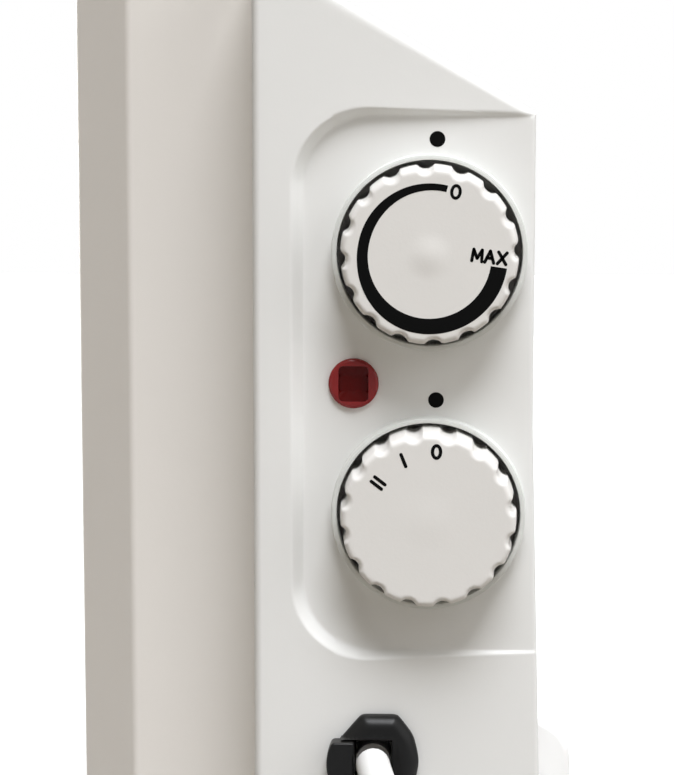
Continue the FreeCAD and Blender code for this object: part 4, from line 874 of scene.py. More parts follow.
@dataclass(frozen=True)
class ControlCap:
    """Moulded end cap: a sunk panel, two knob wells with collars, and a hole for the cord grip.

    Attributes:
        knobs: Knobs that sit in the wells, the upper one first.
        face: X of the outer face at its front edge.
        fall: How much lower the face is at the rear edge.
        rear: Y of the rear edge above the flare.
        flare: Heights between which the rear edge flares.
        roof_fall: Slope of the top edge.
        rim: Radius of the front, top and lower rims.
        rear_rim: Radius of the rear rim.
        panel: X of the sunk panel.
        foot_front: Y of the front wall's foot on the sunk panel.
        foot_low: Z of the lower wall's foot.
        foot_high: Z of the upper wall's foot.
        foot_corner: Radius of the foot's corners.
        steep: Slope of the walls.
        brow: How far the upper edge of the walls is softened.
        hollow: How far the foot of the walls is softened.
        well: Radius of a well.
        well_sides: Half width and half height of the square of the mesh round a well.
        well_floor: X of the bottom of the holes.
        grip: Hole of the cord grip.
        collar: Outer radius of a collar.
        collar_face: X of a collar's face.
        collar_edge: Width of the soft edges of a collar.
        collar_root: How far each line of a collar's root lies above the panel and outside it.
        collar_points: Points round a collar.
    """

    knobs: tuple[Knob, ...]
    face: float = 295.75 * MM
    fall: float = 3.7 * MM
    rear: float = 51.4 * MM
    flare: Flat = (218.0 * MM, 321.0 * MM)
    roof_fall: float = 37.2 / 64.4
    rim: float = 2.0 * MM
    rear_rim: float = 1.0 * MM
    panel: float = 291.75 * MM
    foot_front: float = -1.6 * MM
    foot_low: float = 268.0 * MM
    foot_high: float = 392.1 * MM
    foot_corner: float = 16.2 * MM
    steep: float = 1.45
    brow: float = 0.5 * MM
    hollow: float = 0.3 * MM
    well: float = 21.2 * MM
    well_sides: Flat = (22.5 * MM, 24.0 * MM)
    well_floor: float = 285.3 * MM
    grip: Bore = Bore(CORD_AXIS, 8.0 * MM, (9.4 * MM, 9.4 * MM))
    collar: float = 22.3 * MM
    collar_face: float = 295.15 * MM
    collar_edge: float = 0.15 * MM
    collar_root: tuple[Flat, ...] = (
        (0.3 * MM, 0.02 * MM), (0.1 * MM, 0.1 * MM), (-0.1 * MM, 0.3 * MM), (-0.6 * MM, 0.3 * MM),
    )
    collar_points: int = 160

    @property
    def bores(self) -> tuple[Bore, ...]:
        """Holes of the cap, from the lowest up."""
        wells = [Bore(knob.axis, self.well, self.well_sides) for knob in self.knobs]
        return (self.grip, *reversed(wells))

    @staticmethod
    def _soft_max(first: float, second: float, blend: float) -> float:
        """Larger of two heights, with a rounded change from one to the other."""
        near = max(blend - abs(first - second), 0.0)
        return max(first, second) + near * near / (4 * blend)

    def _outside(self, y: float, z: float) -> float:
        """Measure from the foot of the sunk panel's walls, which are open to the rear.

        Args:
            y: Y of a point.
            z: Z of the point.

        Returns:
            Distance of the point outside the foot.
        """
        corner = self.foot_corner
        middle = (self.foot_low + self.foot_high) / 2
        ahead = self.foot_front - y + corner
        beyond = abs(z - middle) - (self.foot_high - self.foot_low) / 2 + corner
        outside = math.hypot(max(ahead, 0.0), max(beyond, 0.0))
        return outside + min(max(ahead, beyond), 0.0) - corner

    def _rear(self, z: float) -> float:
        """Y of the rear edge at a height."""
        share = min(max((self.flare[1] - z) / (self.flare[1] - self.flare[0]), 0.0), 1.0)
        return self.rear + (node_box("right_end_cap")[1].y - self.rear) * share

    @staticmethod
    def _drop(distance: float, radius: float) -> float:
        """How far a rounded rim falls at a distance inside its edge."""
        inside = radius - min(max(distance, 0.0), radius)
        return radius - math.sqrt(radius ** 2 - inside ** 2)

    def _height(self, y: float, z: float) -> float:
        """Height of the outer face with the sunk panel.

        Args:
            y: Y of a point of the outline.
            z: Z of the point.

        Returns:
            X of the face there.
        """
        front = node_box("right_end_cap")[0].y
        face = self.face - self.fall * (y - front) / (self.rear - front)
        wall = self.panel + self._soft_max(self.steep * self._outside(y, z), 0.0, self.hollow)
        return -self._soft_max(-face, -wall, self.brow)

    @staticmethod
    def _lines(stops: Sequence[Flat], end: float) -> list[float]:
        """Grid lines between stops, each stretch with its own spacing.

        Args:
            stops: Start of each stretch and the widest spacing in it.
            end: Last line.

        Returns:
            The lines in order.
        """
        lines: list[float] = []
        for (start, pitch), (following, _) in zip(stops, [*stops[1:], (end, 0.0)]):
            count = math.ceil((following - start) / pitch - 1e-6)
            lines += [start + (following - start) * step / count for step in range(count)]
        return [*lines, end]

    def _grid(self, low: Vector, high: Vector) -> tuple[list[Flat], list[float], list[float]]:
        """Points of a grid that fits the outline, with lines along the sides of the holes' squares.

        Args:
            low: Lowest corner of the cap.
            high: Highest corner of the cap.

        Returns:
            Y and Z of each point, row by row, and the lines across and upwards.
        """
        fine, bend, plain, wide, bare = 0.25 * MM, 0.3 * MM, 1.0 * MM, 1.5 * MM, 9 * MM
        wall_front = self.foot_front - 5 * MM
        wall_low, wall_high = self.foot_low - 4 * MM, high.z - 22 * MM
        grip, lower, upper = self.bores
        across = self._lines((
            (low.y, fine), (low.y + self.rim, wide), (wall_front, bend), (lower.span(0)[0], bend),
            *((side, plain) for side in grip.span(0)), (lower.span(0)[1], fine),
        ), self.rear)
        fan = upper.span(1)[1]
        upward = self._lines((
            (low.z, fine), (low.z + self.rim, bare), *((side, plain) for side in grip.span(1)),
            (wall_low, bend), *((side, plain) for side in lower.span(1)),
            (upper.span(1)[0], plain), (fan, bend), (wall_high, wide), (high.z - self.rim, fine),
        ), high.z)
        points: list[Flat] = []
        for line in upward:
            for place in across:
                roof = high.z - self.roof_fall * (place - low.y)
                z = line if line <= fan else fan + (line - fan) * (roof - fan) / (high.z - fan)
                share = (place - low.y) / (self.rear - low.y)
                points.append((low.y + share * (self._rear(z) - low.y), z))
        return points, across, upward

    def _raise(self, points: Sequence[Flat], low: Vector, high: Vector) -> list[Point]:
        """Give each point of the outline its height, with the rim rounded.

        Args:
            points: Points in the plane of the outline.
            low: Lowest corner of the cap.
            high: Highest corner of the cap.

        Returns:
            The points at their heights.
        """
        steep = math.hypot(1.0, self.roof_fall)
        raised = []
        for y, z in points:
            roof = (high.z - self.roof_fall * (y - low.y) - z) / steep
            rims = [self._drop(inside, self.rim) for inside in (y - low.y, z - low.z, roof)]
            rims.append(self._drop(self._rear(z) - y, self.rear_rim))
            raised.append((self._height(y, z) - max(rims), y, z))
        return raised

    def _hole(self, bore: Bore, square: list[int], points: list[Point]) -> list[tuple[int, ...]]:
        """Join the square round a hole to its round mouth, and close the hole.

        Args:
            bore: The hole.
            square: Numbers of the points along the square's sides, in order.
            points: All points, to which the new ones are added.

        Returns:
            The new faces.
        """
        middle = Vector(bore.axis)
        ways = [Vector(points[index][1:]) - middle for index in square]
        rings = [square]
        for share in (0.5, 1.0):
            rings.append(list(range(len(points), len(points) + len(ways))))
            for way in ways:
                reach = way.length + (bore.radius - way.length) * share
                y, z = middle + way.normalized() * reach
                points.append((self._height(y, z), y, z))
        mouth = rings[-1]
        rings.append(list(range(len(points), len(points) + len(ways))))
        points += [(self.well_floor, *points[index][1:]) for index in mouth]
        faces = [tuple(rings[-1])]
        for outer, inner in zip(rings, rings[1:]):
            faces += band(outer, inner)
        return faces

    @staticmethod
    def _edges(rows: range, columns: range, wide: int) -> list[int]:
        """Go round a rectangle of the grid.

        Args:
            rows: Its rows of squares.
            columns: Its columns of squares.
            wide: Points in a row of the grid.

        Returns:
            Numbers of the points along its edges, in order.
        """
        bottom, top, left, right = rows.start, rows.stop, columns.start, columns.stop
        edges = [bottom * wide + column for column in range(left, right)]
        edges += [row * wide + right for row in range(bottom, top)]
        edges += [top * wide + column for column in range(right, left, -1)]
        return edges + [row * wide + left for row in range(top, bottom, -1)]

    def build(self) -> None:
        """Build the shell in place of its node, with its holes, and the collars."""
        low, high = node_box("right_end_cap")
        flat, across, upward = self._grid(low, high)
        points = self._raise(flat, low, high)
        wide = len(across)
        faces: list[tuple[int, ...]] = []
        holes: set[tuple[int, int]] = set()
        for bore in self.bores:
            columns = range(*(across.index(place) for place in bore.span(0)))
            rows = range(*(upward.index(place) for place in bore.span(1)))
            holes |= {(row, column) for row in rows for column in columns}
            faces += self._hole(bore, self._edges(rows, columns, wide), points)
        rows, columns = range(len(upward) - 1), range(wide - 1)
        for row in rows:
            for column in columns:
                if (row, column) not in holes:
                    here = row * wide + column
                    faces.append((here, here + 1, here + wide + 1, here + wide))
        border = self._edges(rows, columns, wide)
        base = tuple(range(len(points), len(points) + len(border)))
        points += [(low.x, *points[index][1:]) for index in border]
        faces += [*band(border, base), base]
        shell = mesh_piece("control_cap_shell", points, faces)
        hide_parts("right_end_cap")
        settle(shell, BODY, FINISHES["cap_plastic"])
        for knob in self.knobs:
            self._collar(knob)

    def _collar(self, knob: Knob) -> None:
        """Build the raised ring round one knob.

        Args:
            knob: The knob.
        """
        top, edge, bend = self.collar_face, self.collar_edge, 0.3 * self.collar_edge
        well, outer = self.well, self.collar
        profile = [
            (self.well_floor, well), (top - edge, well), (top - bend, well + bend),
            (top, well + edge), (top, outer - edge), (top - bend, outer - bend),
            (top - edge, outer),
            *((self.panel + rise, outer + out) for rise, out in self.collar_root),
            (self.panel + self.collar_root[-1][0], well), (self.well_floor, well),
        ]
        angles = circle(self.collar_points)
        rings = [[(x, *polar(knob.axis, reach, a)) for a in angles] for x, reach in profile]
        collar = ringed_piece(f"{knob.body}_collar", rings, filled=(False, False))
        # The collar's finish is the cap's plastic darkened as painted shade.
        settle(collar, BODY, SHADED_COLLAR)


@dataclass(frozen=True)
class IndexDots:
    """Printed dots that the knobs' marks are set against.

    Attributes:
        knobs: Knobs that the dots belong to.
        panel: X of the panel that carries them.
        places: Y and Z of each dot from its knob's axis.
        width: Width of a dot.
        rise: Thickness of the print.
    """

    knobs: tuple[Knob, ...]
    panel: float
    places: tuple[Flat, ...] = ((1.67 * MM, 25.78 * MM), (1.65 * MM, 26.15 * MM))
    width: float = 3.6 * MM
    rise: float = 0.05 * MM

    def build(self) -> None:
        """Print one dot above each knob."""
        low, high = self.panel - self.rise, self.panel + self.rise
        for knob, place in zip(self.knobs, self.places):
            spot = (knob.axis[0] + place[0], knob.axis[1] + place[1])
            dot = ribbon_piece(f"{knob.body}_dot", [stroke(spot, spot, self.width)], low, high)
            settle(dot, BODY, INK)


@dataclass(frozen=True)
class Indicator:
    """Red lens of the lamp: a round flange with a sunk window.

    Attributes:
        rise: Height of the flange.
        radius: Radius of the flange.
        stem: How much narrower the stem is.
        shift: How far the flange sits off its hole, to the rear and up.
        edge: Radius of the flange's edge.
        edge_steps: Steps of that edge.
        window: Width and height of the window.
        floor: Width and height of the window's floor.
        sunk: Depth of the window.
        play: Gap round the window and behind it.
        lip: Depth of the window's outer edge.
        back: Thickness behind the window's floor.
        corner: How square the window's corners are.
        crease: Degrees above which an edge of the window stays sharp.
        points: Points round the lens.
    """

    rise: float = 1.2 * MM
    radius: float = 5.8 * MM
    stem: float = 1.1 * MM
    shift: Flat = (-0.15 * MM, -0.15 * MM)
    edge: float = 0.9 * MM
    edge_steps: int = 6
    window: Flat = (6.9 * MM, 8.2 * MM)
    floor: Flat = (6.5 * MM, 3.7 * MM)
    sunk: float = 1.05 * MM
    play: float = 0.1 * MM
    lip: float = 0.2 * MM
    back: float = 0.4 * MM
    corner: float = 9.0
    crease: float = 20.0
    points: int = 144

    @property
    def _middle(self) -> Flat:
        """Y and Z of the lens."""
        low, high = node_box("indicator_lens")
        return (low.y + high.y) / 2 + self.shift[0], (low.z + high.z) / 2 + self.shift[1]

    def _ring(self, x: float, size: Flat) -> list[Point]:
        """Points of a rounded rectangle round the middle of the lens.

        Args:
            x: X of the points.
            size: Width and height of the rectangle.

        Returns:
            The points in order.
        """
        middle = self._middle
        flat = [square_point(size, angle, self.corner) for angle in circle(self.points)]
        return [(x, middle[0] + y, middle[1] + z) for y, z in flat]

    def build(self) -> None:
        """Build the flange in place of the lens, and the darker window inside it."""
        low, high = node_box("indicator_lens")
        top, stem = high.x, self.radius - self.stem
        profile = [(low.x, stem), (top - self.rise, stem), (top - self.rise, self.radius)]
        for turn in quarter(self.edge_steps):
            reach = self.radius - self.edge * (1 - math.cos(turn))
            profile.append((top - self.edge * (1 - math.sin(turn)), reach))
        middle, angles = self._middle, circle(self.points)
        rings = [[(x, *polar(middle, reach, a)) for a in angles] for x, reach in profile]
        rings += [self._ring(x, self.window) for x in (top, top - self.sunk - self.play)]
        flange = ringed_piece("indicator_flange", rings)
        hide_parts("indicator_lens")
        settle(flange, BODY, FINISHES["lens_red"])
        inside = (self.window[0] - self.play, self.window[1] - self.play)
        walls = ((self.sunk, self.floor), (self.lip, inside), (self.sunk + self.back, inside))
        rings = [self._ring(top - depth, size) for depth, size in walls]
        settle(ringed_piece("indicator_window", rings, self.crease), BODY, WINDOW)


@dataclass(frozen=True)
class Foot:
    """Moulded foot: a bar with an arched sole, and an upright with a rounded top behind the case.

    Attributes:
        side: End of the heater that it carries, left or right.
        lean: How far the top of the upright falls to the inside.
        top: Heights between which that fall grows.
        soft: Radius of the edges along the outline.
        soft_steps: Steps of those edges.
        corner_steps: Steps of a corner of the outline.
        smallest: Least radius of a corner.
        outline: Y, Z and radius of each corner in millimetres, seen from the control end.
    """

    side: str
    lean: float = 9.0 * MM
    top: Flat = (212.0 * MM, 238.0 * MM)
    soft: float = 1.8 * MM
    soft_steps: int = 5
    corner_steps: int = 8
    smallest: float = 0.1 * MM
    outline: tuple[Point, ...] = (
        (51.4, 248.3, 2.0), (61.7, 242.9, 9.0), (70.4, 50.0, 26.0), (108.0, 20.0, 6.0),
        (112.0, 4.0, 2.2), (84.0, 4.0, 2.2), (72.0, 12.0, 8.0), (-72.0, 12.0, 8.0),
        (-84.0, 4.0, 2.2), (-112.0, 4.0, 2.2), (-108.0, 20.0, 6.0), (-61.6, 45.0, 26.0),
        (51.4, 45.0, 2.2),
    )

    def _profile(self, inset: float) -> list[Vector]:
        """Outline set in from the outside, with its corners rounded.

        Args:
            inset: How far it is set in.

        Returns:
            Y and Z of its points, in metres.
        """
        corners = [(Vector(corner[:2]) * MM, corner[2] * MM) for corner in self.outline]
        profile = []
        for index, (corner, radius) in enumerate(corners):
            back = (corners[index - 1][0] - corner).normalized()
            ahead = (corners[(index + 1) % len(corners)][0] - corner).normalized()
            half = back.angle(ahead) / 2
            inward = math.copysign(1.0, back.x * ahead.y - back.y * ahead.x)
            corner = corner + (back + ahead).normalized() * (inward * inset / math.sin(half))
            reach = max(radius - inward * inset, self.smallest) / math.tan(half)
            start, end = corner + back * reach, corner + ahead * reach
            for step in range(self.corner_steps + 1):
                share = step / self.corner_steps
                profile.append(start.lerp(corner, share).lerp(corner.lerp(end, share), share))
        return profile

    def build(self) -> None:
        """Build the foot in place of its node."""
        low, high = node_box(f"{self.side}_foot")
        outer, inner = (low.x, high.x) if self.side == "left" else (high.x, low.x)
        width = abs(inner - outer)
        edge = [
            (self.soft * (1 - math.sin(turn)), self.soft * (1 - math.cos(turn)))
            for turn in quarter(self.soft_steps)
        ]
        edge += [(inset, width - depth) for inset, depth in reversed(edge)]
        rings: list[list[Point]] = []
        for inset, depth in edge:
            across = depth / width
            ring = []
            for y, z in self._profile(inset):
                share = min(max((z - self.top[0]) / (self.top[1] - self.top[0]), 0.0), 1.0)
                ring.append((outer + (inner - outer) * across, y, z - self.lean * share * across))
            rings.append(ring)
        foot = ringed_piece(f"{self.side}_foot_moulding", rings)
        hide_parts(f"{self.side}_foot")
        settle(foot, BODY, FINISHES["foot_plastic"])


@dataclass(frozen=True)
class CordGrip:
    """Black clamp round the cord where it leaves the cap: a domed head with a slot for its wedge.

    Attributes:
        axis: Y and Z of the cord.
        edges: Direction and distance of each upper edge of the head; the lower ones mirror them.
        corner: How sharp the corners between the edges are.
        dome: How far each line round the head is set in, and how far below the top it lies, in
            millimetres.
        throat: Half width and half height of the cord's hole.
        neck: Radius inside the cap.
        base: Radius and thickness of the base in the cap's face.
        rise: Height of the head above the base's seat.
        lip: Radius of the hole's edge.
        points: Points round the grip.
    """

    axis: Flat = CORD_AXIS
    edges: tuple[Point, ...] = (
        (-0.762, 0.647, 9.27 * MM), (0.0, 1.0, 11.1 * MM), (0.795, 0.607, 11.28 * MM),
        (0.976, 0.215, 10.6 * MM),
    )
    corner: float = 32.0
    dome: tuple[Flat, ...] = (
        (0.0, 3.7), (0.0, 2.6), (0.25, 2.1), (0.65, 1.55), (1.2, 1.02), (1.85, 0.58), (2.6, 0.26),
        (3.5, 0.06), (4.4, 0.0),
    )
    throat: Flat = (4.3 * MM, 5.5 * MM)
    neck: float = 7.9 * MM
    base: Flat = (9.1 * MM, 1.3 * MM)
    rise: float = 5.0 * MM
    lip: float = 0.4 * MM
    points: int = 288

    def _reach(self, across: float, up: float, inset: float) -> float:
        """Distance from the cord to the head's edge in a direction.

        Args:
            across: Part of the direction to the rear.
            up: Part of it that goes up.
            inset: How far the edge is set in.

        Returns:
            Distance to the edge.
        """
        total = 0.0
        for side, rise, away in self.edges:
            for facing in (side * across + rise * up, side * across - rise * up):
                total += max(facing / (away - inset), 0.0) ** self.corner
        return total ** (-1 / self.corner)

    def _column(self, across: float, up: float) -> list[Flat]:
        """Profile of the grip in one direction from the cord.

        Args:
            across: Part of the direction to the rear.
            up: Part of it that goes up.

        Returns:
            X and radius of each point, from the neck over the head and back down the hole.
        """
        low, high = node_box("cord_grip_body")
        seat, least = high.x - self.rise, 0.001
        foot = seat + self.base[1]
        hole = self.throat[1] / max(abs(up), least)
        slot = across < 0 and self._reach(across, up, 0.0) < hole
        if slot or across > 0:
            hole = min(hole, self.throat[0] / max(abs(across), least))
        column = [
            (low.x, self.neck), (seat, self.neck), (seat, self.base[0]), (foot, self.base[0]),
        ]
        for inset, below in self.dome:
            reach = max(self._reach(across, up, inset * MM), hole + self.lip)
            column.append((high.x - below * MM, reach))
        column += [(high.x, hole + self.lip), (high.x - self.lip, hole), (low.x, hole), column[0]]
        return [(min(x, foot), reach) for x, reach in column] if slot else column

    def build(self) -> None:
        """Build the grip in place of its node."""
        columns: list[list[Point]] = []
        for turn in circle(self.points):
            across, up = math.cos(turn), math.sin(turn)
            columns.append([
                (x, self.axis[0] + across * reach, self.axis[1] + up * reach)
                for x, reach in self._column(across, up)
            ])
        grip = ringed_piece("cord_grip_moulding", list(zip(*columns)), filled=(False, False))
        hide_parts("cord_grip_body")
        settle(grip, BODY, FINISHES["grip_nylon"])


@dataclass(frozen=True)
class KeyholeCups:
    """Pressed cups that close the keyholes of the back towards the inside of the case.

    Attributes:
        size: Width and height of a cup.
        corner: How square its corners are.
        rise: Height of its middle above the middle of the keyhole's entry.
        sheet: Thickness of the back.
        wall: How far each ring is set in from the size, and how deep it lies, in millimetres.
        points: Points round a cup.
    """

    size: Flat = (20.0 * MM, 28.0 * MM)
    corner: float = 4.0
    rise: float = 4.3 * MM
    sheet: float = 1.0 * MM
    wall: tuple[Flat, ...] = (
        (-4.0, 0.0), (-4.0, 0.6), (0.0, 0.8), (1.0, 1.6), (2.0, 4.2), (3.4, 5.0),
    )
    points: int = 64

    def build(self) -> None:
        """Build both cups against the inside of the back."""
        mount = next(
            item for item in frame["record"]["mounts"] if item["name"] == "wall_keyholes")
        middle, back, entry = mount["pos_m"]
        half = mount["dims"]["spacing_x_mm"] * MM / 2
        angles = circle(self.points)
        for side, place in (("left", middle - half), ("right", middle + half)):
            rings = []
            for inset, depth in self.wall:
                size = (self.size[0] - inset * MM, self.size[1] - inset * MM)
                flat = [square_point(size, angle, self.corner) for angle in angles]
                y = back - self.sheet / 2 - depth * MM
                rings.append([(place + across, y, entry + self.rise + up) for across, up in flat])
            cup = ringed_piece(f"{side}_keyhole_cup", rings, filled=(False, True))
            settle(cup, BODY, FINISHES["zinc_steel"])


@dataclass(frozen=True)
class SoftEdges:
    """Rounded edges of nodes that the model shows with sharp ones.

    Attributes:
        radii: Radius for each node.
        segments: Facets of a rounded edge.
        limit: Degrees between two faces above which their edge is rounded.
        level: Degrees below which two faces count as one.
        joined: Distance below which two corners count as one.
    """

    radii: tuple[tuple[str, float], ...] = (
        ("cord_grip_wedge", 1.2 * MM), ("plug_body", 0.8 * MM),
        ("left_end_cap", 1.2 * MM), ("cord_tie", 0.5 * MM),
    )
    segments: int = 4
    limit: float = 35.0
    level: float = 0.5
    joined: float = 0.001 * MM

    def build(self) -> None:
        """Join each node's faces, then round the edges between them."""
        for name, radius in self.radii:
            node = frame["nodes"][name]
            weld = node.modifiers.new("joined_faces", "WELD")
            weld.merge_threshold = self.joined
            flat = node.modifiers.new("whole_faces", "DECIMATE")
            flat.decimate_type = "DISSOLVE"
            flat.angle_limit = math.radians(self.level)
            bevel = node.modifiers.new("soft_edges", "BEVEL")
            bevel.width = radius
            bevel.segments = self.segments
            bevel.limit_method = "ANGLE"
            bevel.angle_limit = math.radians(self.limit)
            bevel.harden_normals = True
            LOG.info("%s has its edges rounded", name)


@dataclass(frozen=True)
class MainsCord:
    """White mains cord: out of its grip, down to the floor and into a tied coil.

    Attributes:
        mouth: Place where it leaves the grip.
        run: Steps from the mouth to each point of the free run, outwards, to the rear and up, in
            millimetres.
        diameter: Diameter of the cord.
        coil_radius: Radius at the middle of the turns.
        step: Distance between neighbouring turns.
        climb: Height from the lower layer to the upper.
        turns: Turns in each layer.
        per_turn: Points in one turn.
        tail: Length from the coil to the plug.
        tail_rise: Share of the tail's length and of its rise at each of its points.
        plug_height: Height of the plug's axis.
        length: Length of the cord; not used.
    """

    mouth: Point = (298.35 * MM, *CORD_AXIS)
    run: tuple[Point, ...] = (
        (0, 0, 0), (14, 1.8, -1), (28.5, 5.4, -5), (41, 9.8, -14), (50, 13.8, -28),
        (54, 16.4, -46), (54.5, 17, -71), (53.5, 15, -103), (53, 11.5, -137), (53.5, 7, -167),
        (55, 0.5, -193), (56.5, -9, -213), (57.5, -21, -225.7), (57.9, -36, -233.2),
        (58, -53, -236.7), (58, -70, -236.7),
    )
    diameter: float = 7.9 * MM
    coil_radius: float = 44.0 * MM
    step: float = 10.6 * MM
    climb: float = 8.6 * MM
    turns: int = 2
    per_turn: int = 16
    tail: float = 56.0 * MM
    tail_rise: tuple[Flat, ...] = ((0.2, 0.0), (0.5, 0.35), (0.8, 1.0), (1.0, 1.0))
    plug_height: float = 18.0 * MM
    length: float = 1.604

    def _coil(self, joint: Vector) -> list[Vector]:
        """Points of the coil: in along the floor, up a layer in half a turn, and out again.

        Args:
            joint: Place where the free run meets the coil.

        Returns:
            Points of the turns.
        """
        outer = self.coil_radius + self.step * self.turns / 2
        inner = outer - self.step * self.turns
        middle = joint + Vector((outer, 0.0, 0.0))
        inward = self.turns * self.per_turn
        half = self.per_turn // 2
        swell = 1 / math.cos(math.pi / self.per_turn)
        points = []
        for index in range(2 * inward + half + 1):
            if index <= inward:
                radius, height = outer - self.step * index / self.per_turn, 0.0
            elif index <= inward + half:
                radius, height = inner, self.climb * (index - inward) / half
            else:
                outward = index - inward - half
                radius, height = inner + self.step * outward / self.per_turn, self.climb
            angle = math.pi + 2 * math.pi * index / self.per_turn
            out = Vector((math.cos(angle), math.sin(angle), 0.0)) * (radius * swell)
            points.append(middle + out + Vector((0.0, 0.0, height)))
        return points

    def _path(self) -> list[Vector]:
        """Lay out the cord from the grip to the plug.

        Returns:
            Points of its middle line.
        """
        points = [Vector(self.mouth) + Vector(step) * MM for step in self.run]
        points += self._coil(points[-1] - Vector((0.0, self.diameter, 0.0)))
        end = points[-1].copy()
        for share, rise in self.tail_rise:
            height = end.z + (self.plug_height - end.z) * rise
            points.append(Vector((end.x, end.y + self.tail * share, height)))
        return [*points, points[-1] + Vector((0.0, self.diameter, 0.0))]

    def build(self) -> None:
        points = self._path()
        curve = bpy.data.curves.new("mains_lead", "CURVE")
        curve.dimensions = "3D"
        curve.bevel_depth = self.diameter / 2
        curve.bevel_resolution = 8
        curve.resolution_u = 8
        curve.use_fill_caps = True
        spline = curve.splines.new("NURBS")
        spline.points.add(len(points) - 1)
        for slot, point in zip(spline.points, points):
            slot.co = (*point, 1.0)
        spline.order_u = 3
        spline.use_endpoint_u = True
        lead = bpy.data.objects.new("mains_lead", curve)
        bpy.context.scene.collection.objects.link(lead)
        settle(lead, BODY, FINISHES["cord_pvc"])
        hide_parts("mains_cord", "cord_coil")


@dataclass(frozen=True)
class Lamp:
    """Soft light, far away or at a distance from the control panel.

    Attributes:
        name: Name of the light.
        way: Direction of the light from the panel.
        level: Colour that it gives a white surface facing it at the panel.
        spread: Degrees of sky that it fills.
        reach: Distance from the panel, or 0 for a light that is far away.
        panel: Middle of the panel.
    """

    name: str
    way: Point
    level: Colour
    spread: float
    reach: float = 0.0
    panel: Point = (0.292, 0.027, 0.36)

    def build(self) -> None:
        """Hang the light."""
        data = bpy.data.lights.new(self.name, "AREA" if self.reach else "SUN")
        brightest = max(self.level)
        data.color = [part / brightest for part in self.level]
        light = bpy.data.objects.new(self.name, data)
        if self.reach:
            data.shape = "DISK"
            data.size = 2 * self.reach * math.tan(math.radians(self.spread / 2))
            data.energy = brightest * (math.pi * self.reach) ** 2
            light.location = Vector(self.panel) + Vector(self.way).normalized() * self.reach
            light.visible_camera = False
        else:
            data.energy = brightest * math.pi
            data.angle = math.radians(self.spread)
        light.rotation_euler = (-Vector(self.way)).to_track_quat("-Z", "Y").to_euler()
        bpy.context.scene.collection.objects.link(light)


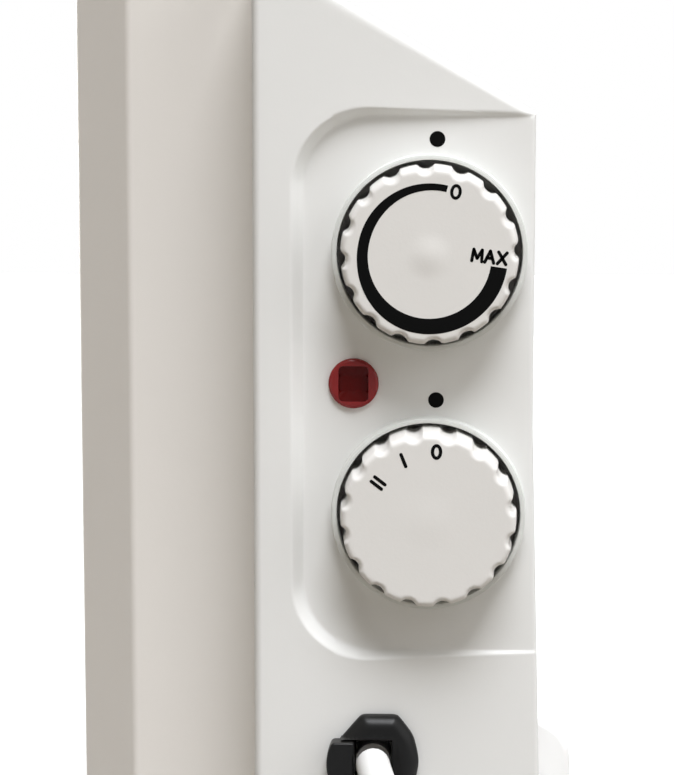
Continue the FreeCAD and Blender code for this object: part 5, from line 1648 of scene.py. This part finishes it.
@dataclass(frozen=True)
class Studio:
    """Camera, soft light and a plain pale floor.

    Attributes:
        camera: Place of the camera.
        aim: Direction that it looks in.
        lens: Focal length.
        frame_height: Height of the frame that the focal length is for, both in millimetres.
        lamps: Lights.
        sky: Middle brightness of the sky on the object.
        sky_slope: How the sky's brightness changes along X, Y and Z.
        sky_colour: Colour of the sky on the object.
        floor_shade: Colour of the floor in the light that it gives back.
        floor_half: Half the width of the floor.
    """

    camera: Point = (0.84015, 0.0273, 0.4012)
    aim: Point = (-0.990896, -0.038076, -0.129118)
    lens: float = 111.48
    frame_height: float = 36.0
    lamps: tuple[Lamp, ...] = (
        Lamp("key", (0.395, 0.12, 0.911), (1.23, 1.25, 1.29), 30.0),
        Lamp("wash", (0.55, 0.62, 0.56), (0.15, 0.15, 0.15), 34.0, 0.46),
        Lamp("side_fill", (0.62, -0.76, 0.2), (0.125, 0.115, 0.1), 80.0),
        Lamp("rear_fill", (0.3, 0.9, 0.35), (0.22, 0.22, 0.22), 50.0),
        Lamp("front_fill", (-0.75, -0.65, 0.1), (0.88, 0.865, 0.84), 30.0),
    )
    sky: float = 0.05
    sky_slope: Point = (0.0, 0.06, 0.0)
    sky_colour: Colour = (1.05, 0.97, 0.83)
    floor_shade: Colour = (0.25, 0.22, 0.18)
    floor_half: float = 4.0

    def build(self) -> None:
        """Set up camera, light, sky and floor."""
        self._camera()
        for lamp in self.lamps:
            lamp.build()
        self._sky()
        self._floor()
        bpy.context.scene.view_settings.view_transform = "Standard"

    def _camera(self) -> None:
        """Place the camera as the photograph was taken."""
        data = bpy.data.cameras.new("camera")
        data.sensor_fit = "VERTICAL"
        data.sensor_height = self.frame_height
        data.lens = self.lens
        data.clip_start = 0.01
        camera = bpy.data.objects.new("camera", data)
        camera.location = self.camera
        camera.rotation_euler = Vector(self.aim).to_track_quat("-Z", "Y").to_euler()
        bpy.context.scene.collection.objects.link(camera)
        bpy.context.scene.camera = camera

    @staticmethod
    def _seen_white(tree: bpy.types.NodeTree) -> bpy.types.NodeSocket:
        """Mark the rays of the camera, of reflections and of what is seen through clear pieces.

        Args:
            tree: Nodes of the sky or the floor.

        Returns:
            Socket that is 1 for such a ray and otherwise 0.
        """
        rays = tree.nodes.new("ShaderNodeLightPath")
        mark = rays.outputs["Is Camera Ray"]
        for kind in ("Is Glossy Ray", "Is Transmission Ray"):
            mark = math_node(tree, "MAXIMUM", mark, rays.outputs[kind])
        return mark

    def _sky(self) -> None:
        """Make the sky white where it is seen, and a dim light that is brighter at the rear."""
        world = bpy.data.worlds.new("studio")
        world.use_nodes = True
        tree = world.node_tree
        sky = tree.nodes["Background"]
        white = self._seen_white(tree)
        tone = colour_mix(tree, white, self.sky_colour, WHITE)
        tree.links.new(tone, sky.inputs["Color"])
        where = tree.nodes.new("ShaderNodeTexCoord")
        slope = tree.nodes.new("ShaderNodeVectorMath")
        slope.operation = "DOT_PRODUCT"
        slope.inputs[1].default_value = self.sky_slope
        tree.links.new(where.outputs["Generated"], slope.inputs[0])
        seen = tree.nodes.new("ShaderNodeMix")
        seen.inputs["B"].default_value = 1.0
        tree.links.new(white, seen.inputs["Factor"])
        tree.links.new(math_node(tree, "ADD", slope.outputs["Value"], self.sky), seen.inputs["A"])
        tree.links.new(seen.outputs["Result"], sky.inputs["Strength"])
        bpy.context.scene.world = world

    def _floor(self) -> None:
        """Lay a pale floor that is white where it is seen and keeps the object's shadow."""
        half = self.floor_half
        corners = [(-half, -half, 0.0), (half, -half, 0.0), (half, half, 0.0), (-half, half, 0.0)]
        floor = mesh_piece("studio_floor", corners, [(0, 1, 2, 3)])
        made = bpy.data.materials.new("studio_floor")
        made.use_nodes = True
        tree = made.node_tree
        shader = tree.nodes["Principled BSDF"]
        shader.inputs["Roughness"].default_value = 0.9
        shader.inputs["Specular IOR Level"].default_value = 0.0
        shade = colour_mix(tree, self._seen_white(tree), self.floor_shade, WHITE)
        tree.links.new(shade, shader.inputs["Base Color"])
        floor.data.materials.append(made)


def dress_nodes() -> None:
    """Give every node of the model the finish that its slot names."""
    slots = {part["node"]: part["material_slot"] for part in frame["record"]["subparts"]}
    for name, item in frame["nodes"].items():
        finish = FINISHES[slots[name]]
        if item.material_slots:
            for slot in item.material_slots:
                slot.material = finish.material()
        else:
            item.data.materials.append(finish.material())
        LOG.info("%s takes %s", name, finish.name)


def main() -> None:
    """Build the studio, dress the model and add the pieces."""
    logging.basicConfig(level=logging.INFO, format="%(message)s")
    Studio().build()
    MainsCord().build()
    dress_nodes()
    thermostat = Knob("thermostat", -2.8)
    selector = Knob("selector", -9.5, boss=6.0 * MM, boss_rise=0.12 * MM)
    knobs = (thermostat, selector)
    for knob in knobs:
        knob.build()
    ThermostatDial(thermostat).build()
    SelectorDial(selector).build()
    cap = ControlCap(knobs)
    cap.build()
    IndexDots(knobs, cap.panel).build()
    Indicator().build()
    for side in ("left", "right"):
        Foot(side).build()
    CordGrip().build()
    KeyholeCups().build()
    SoftEdges().build()


if __name__ == "__main__":
    main()
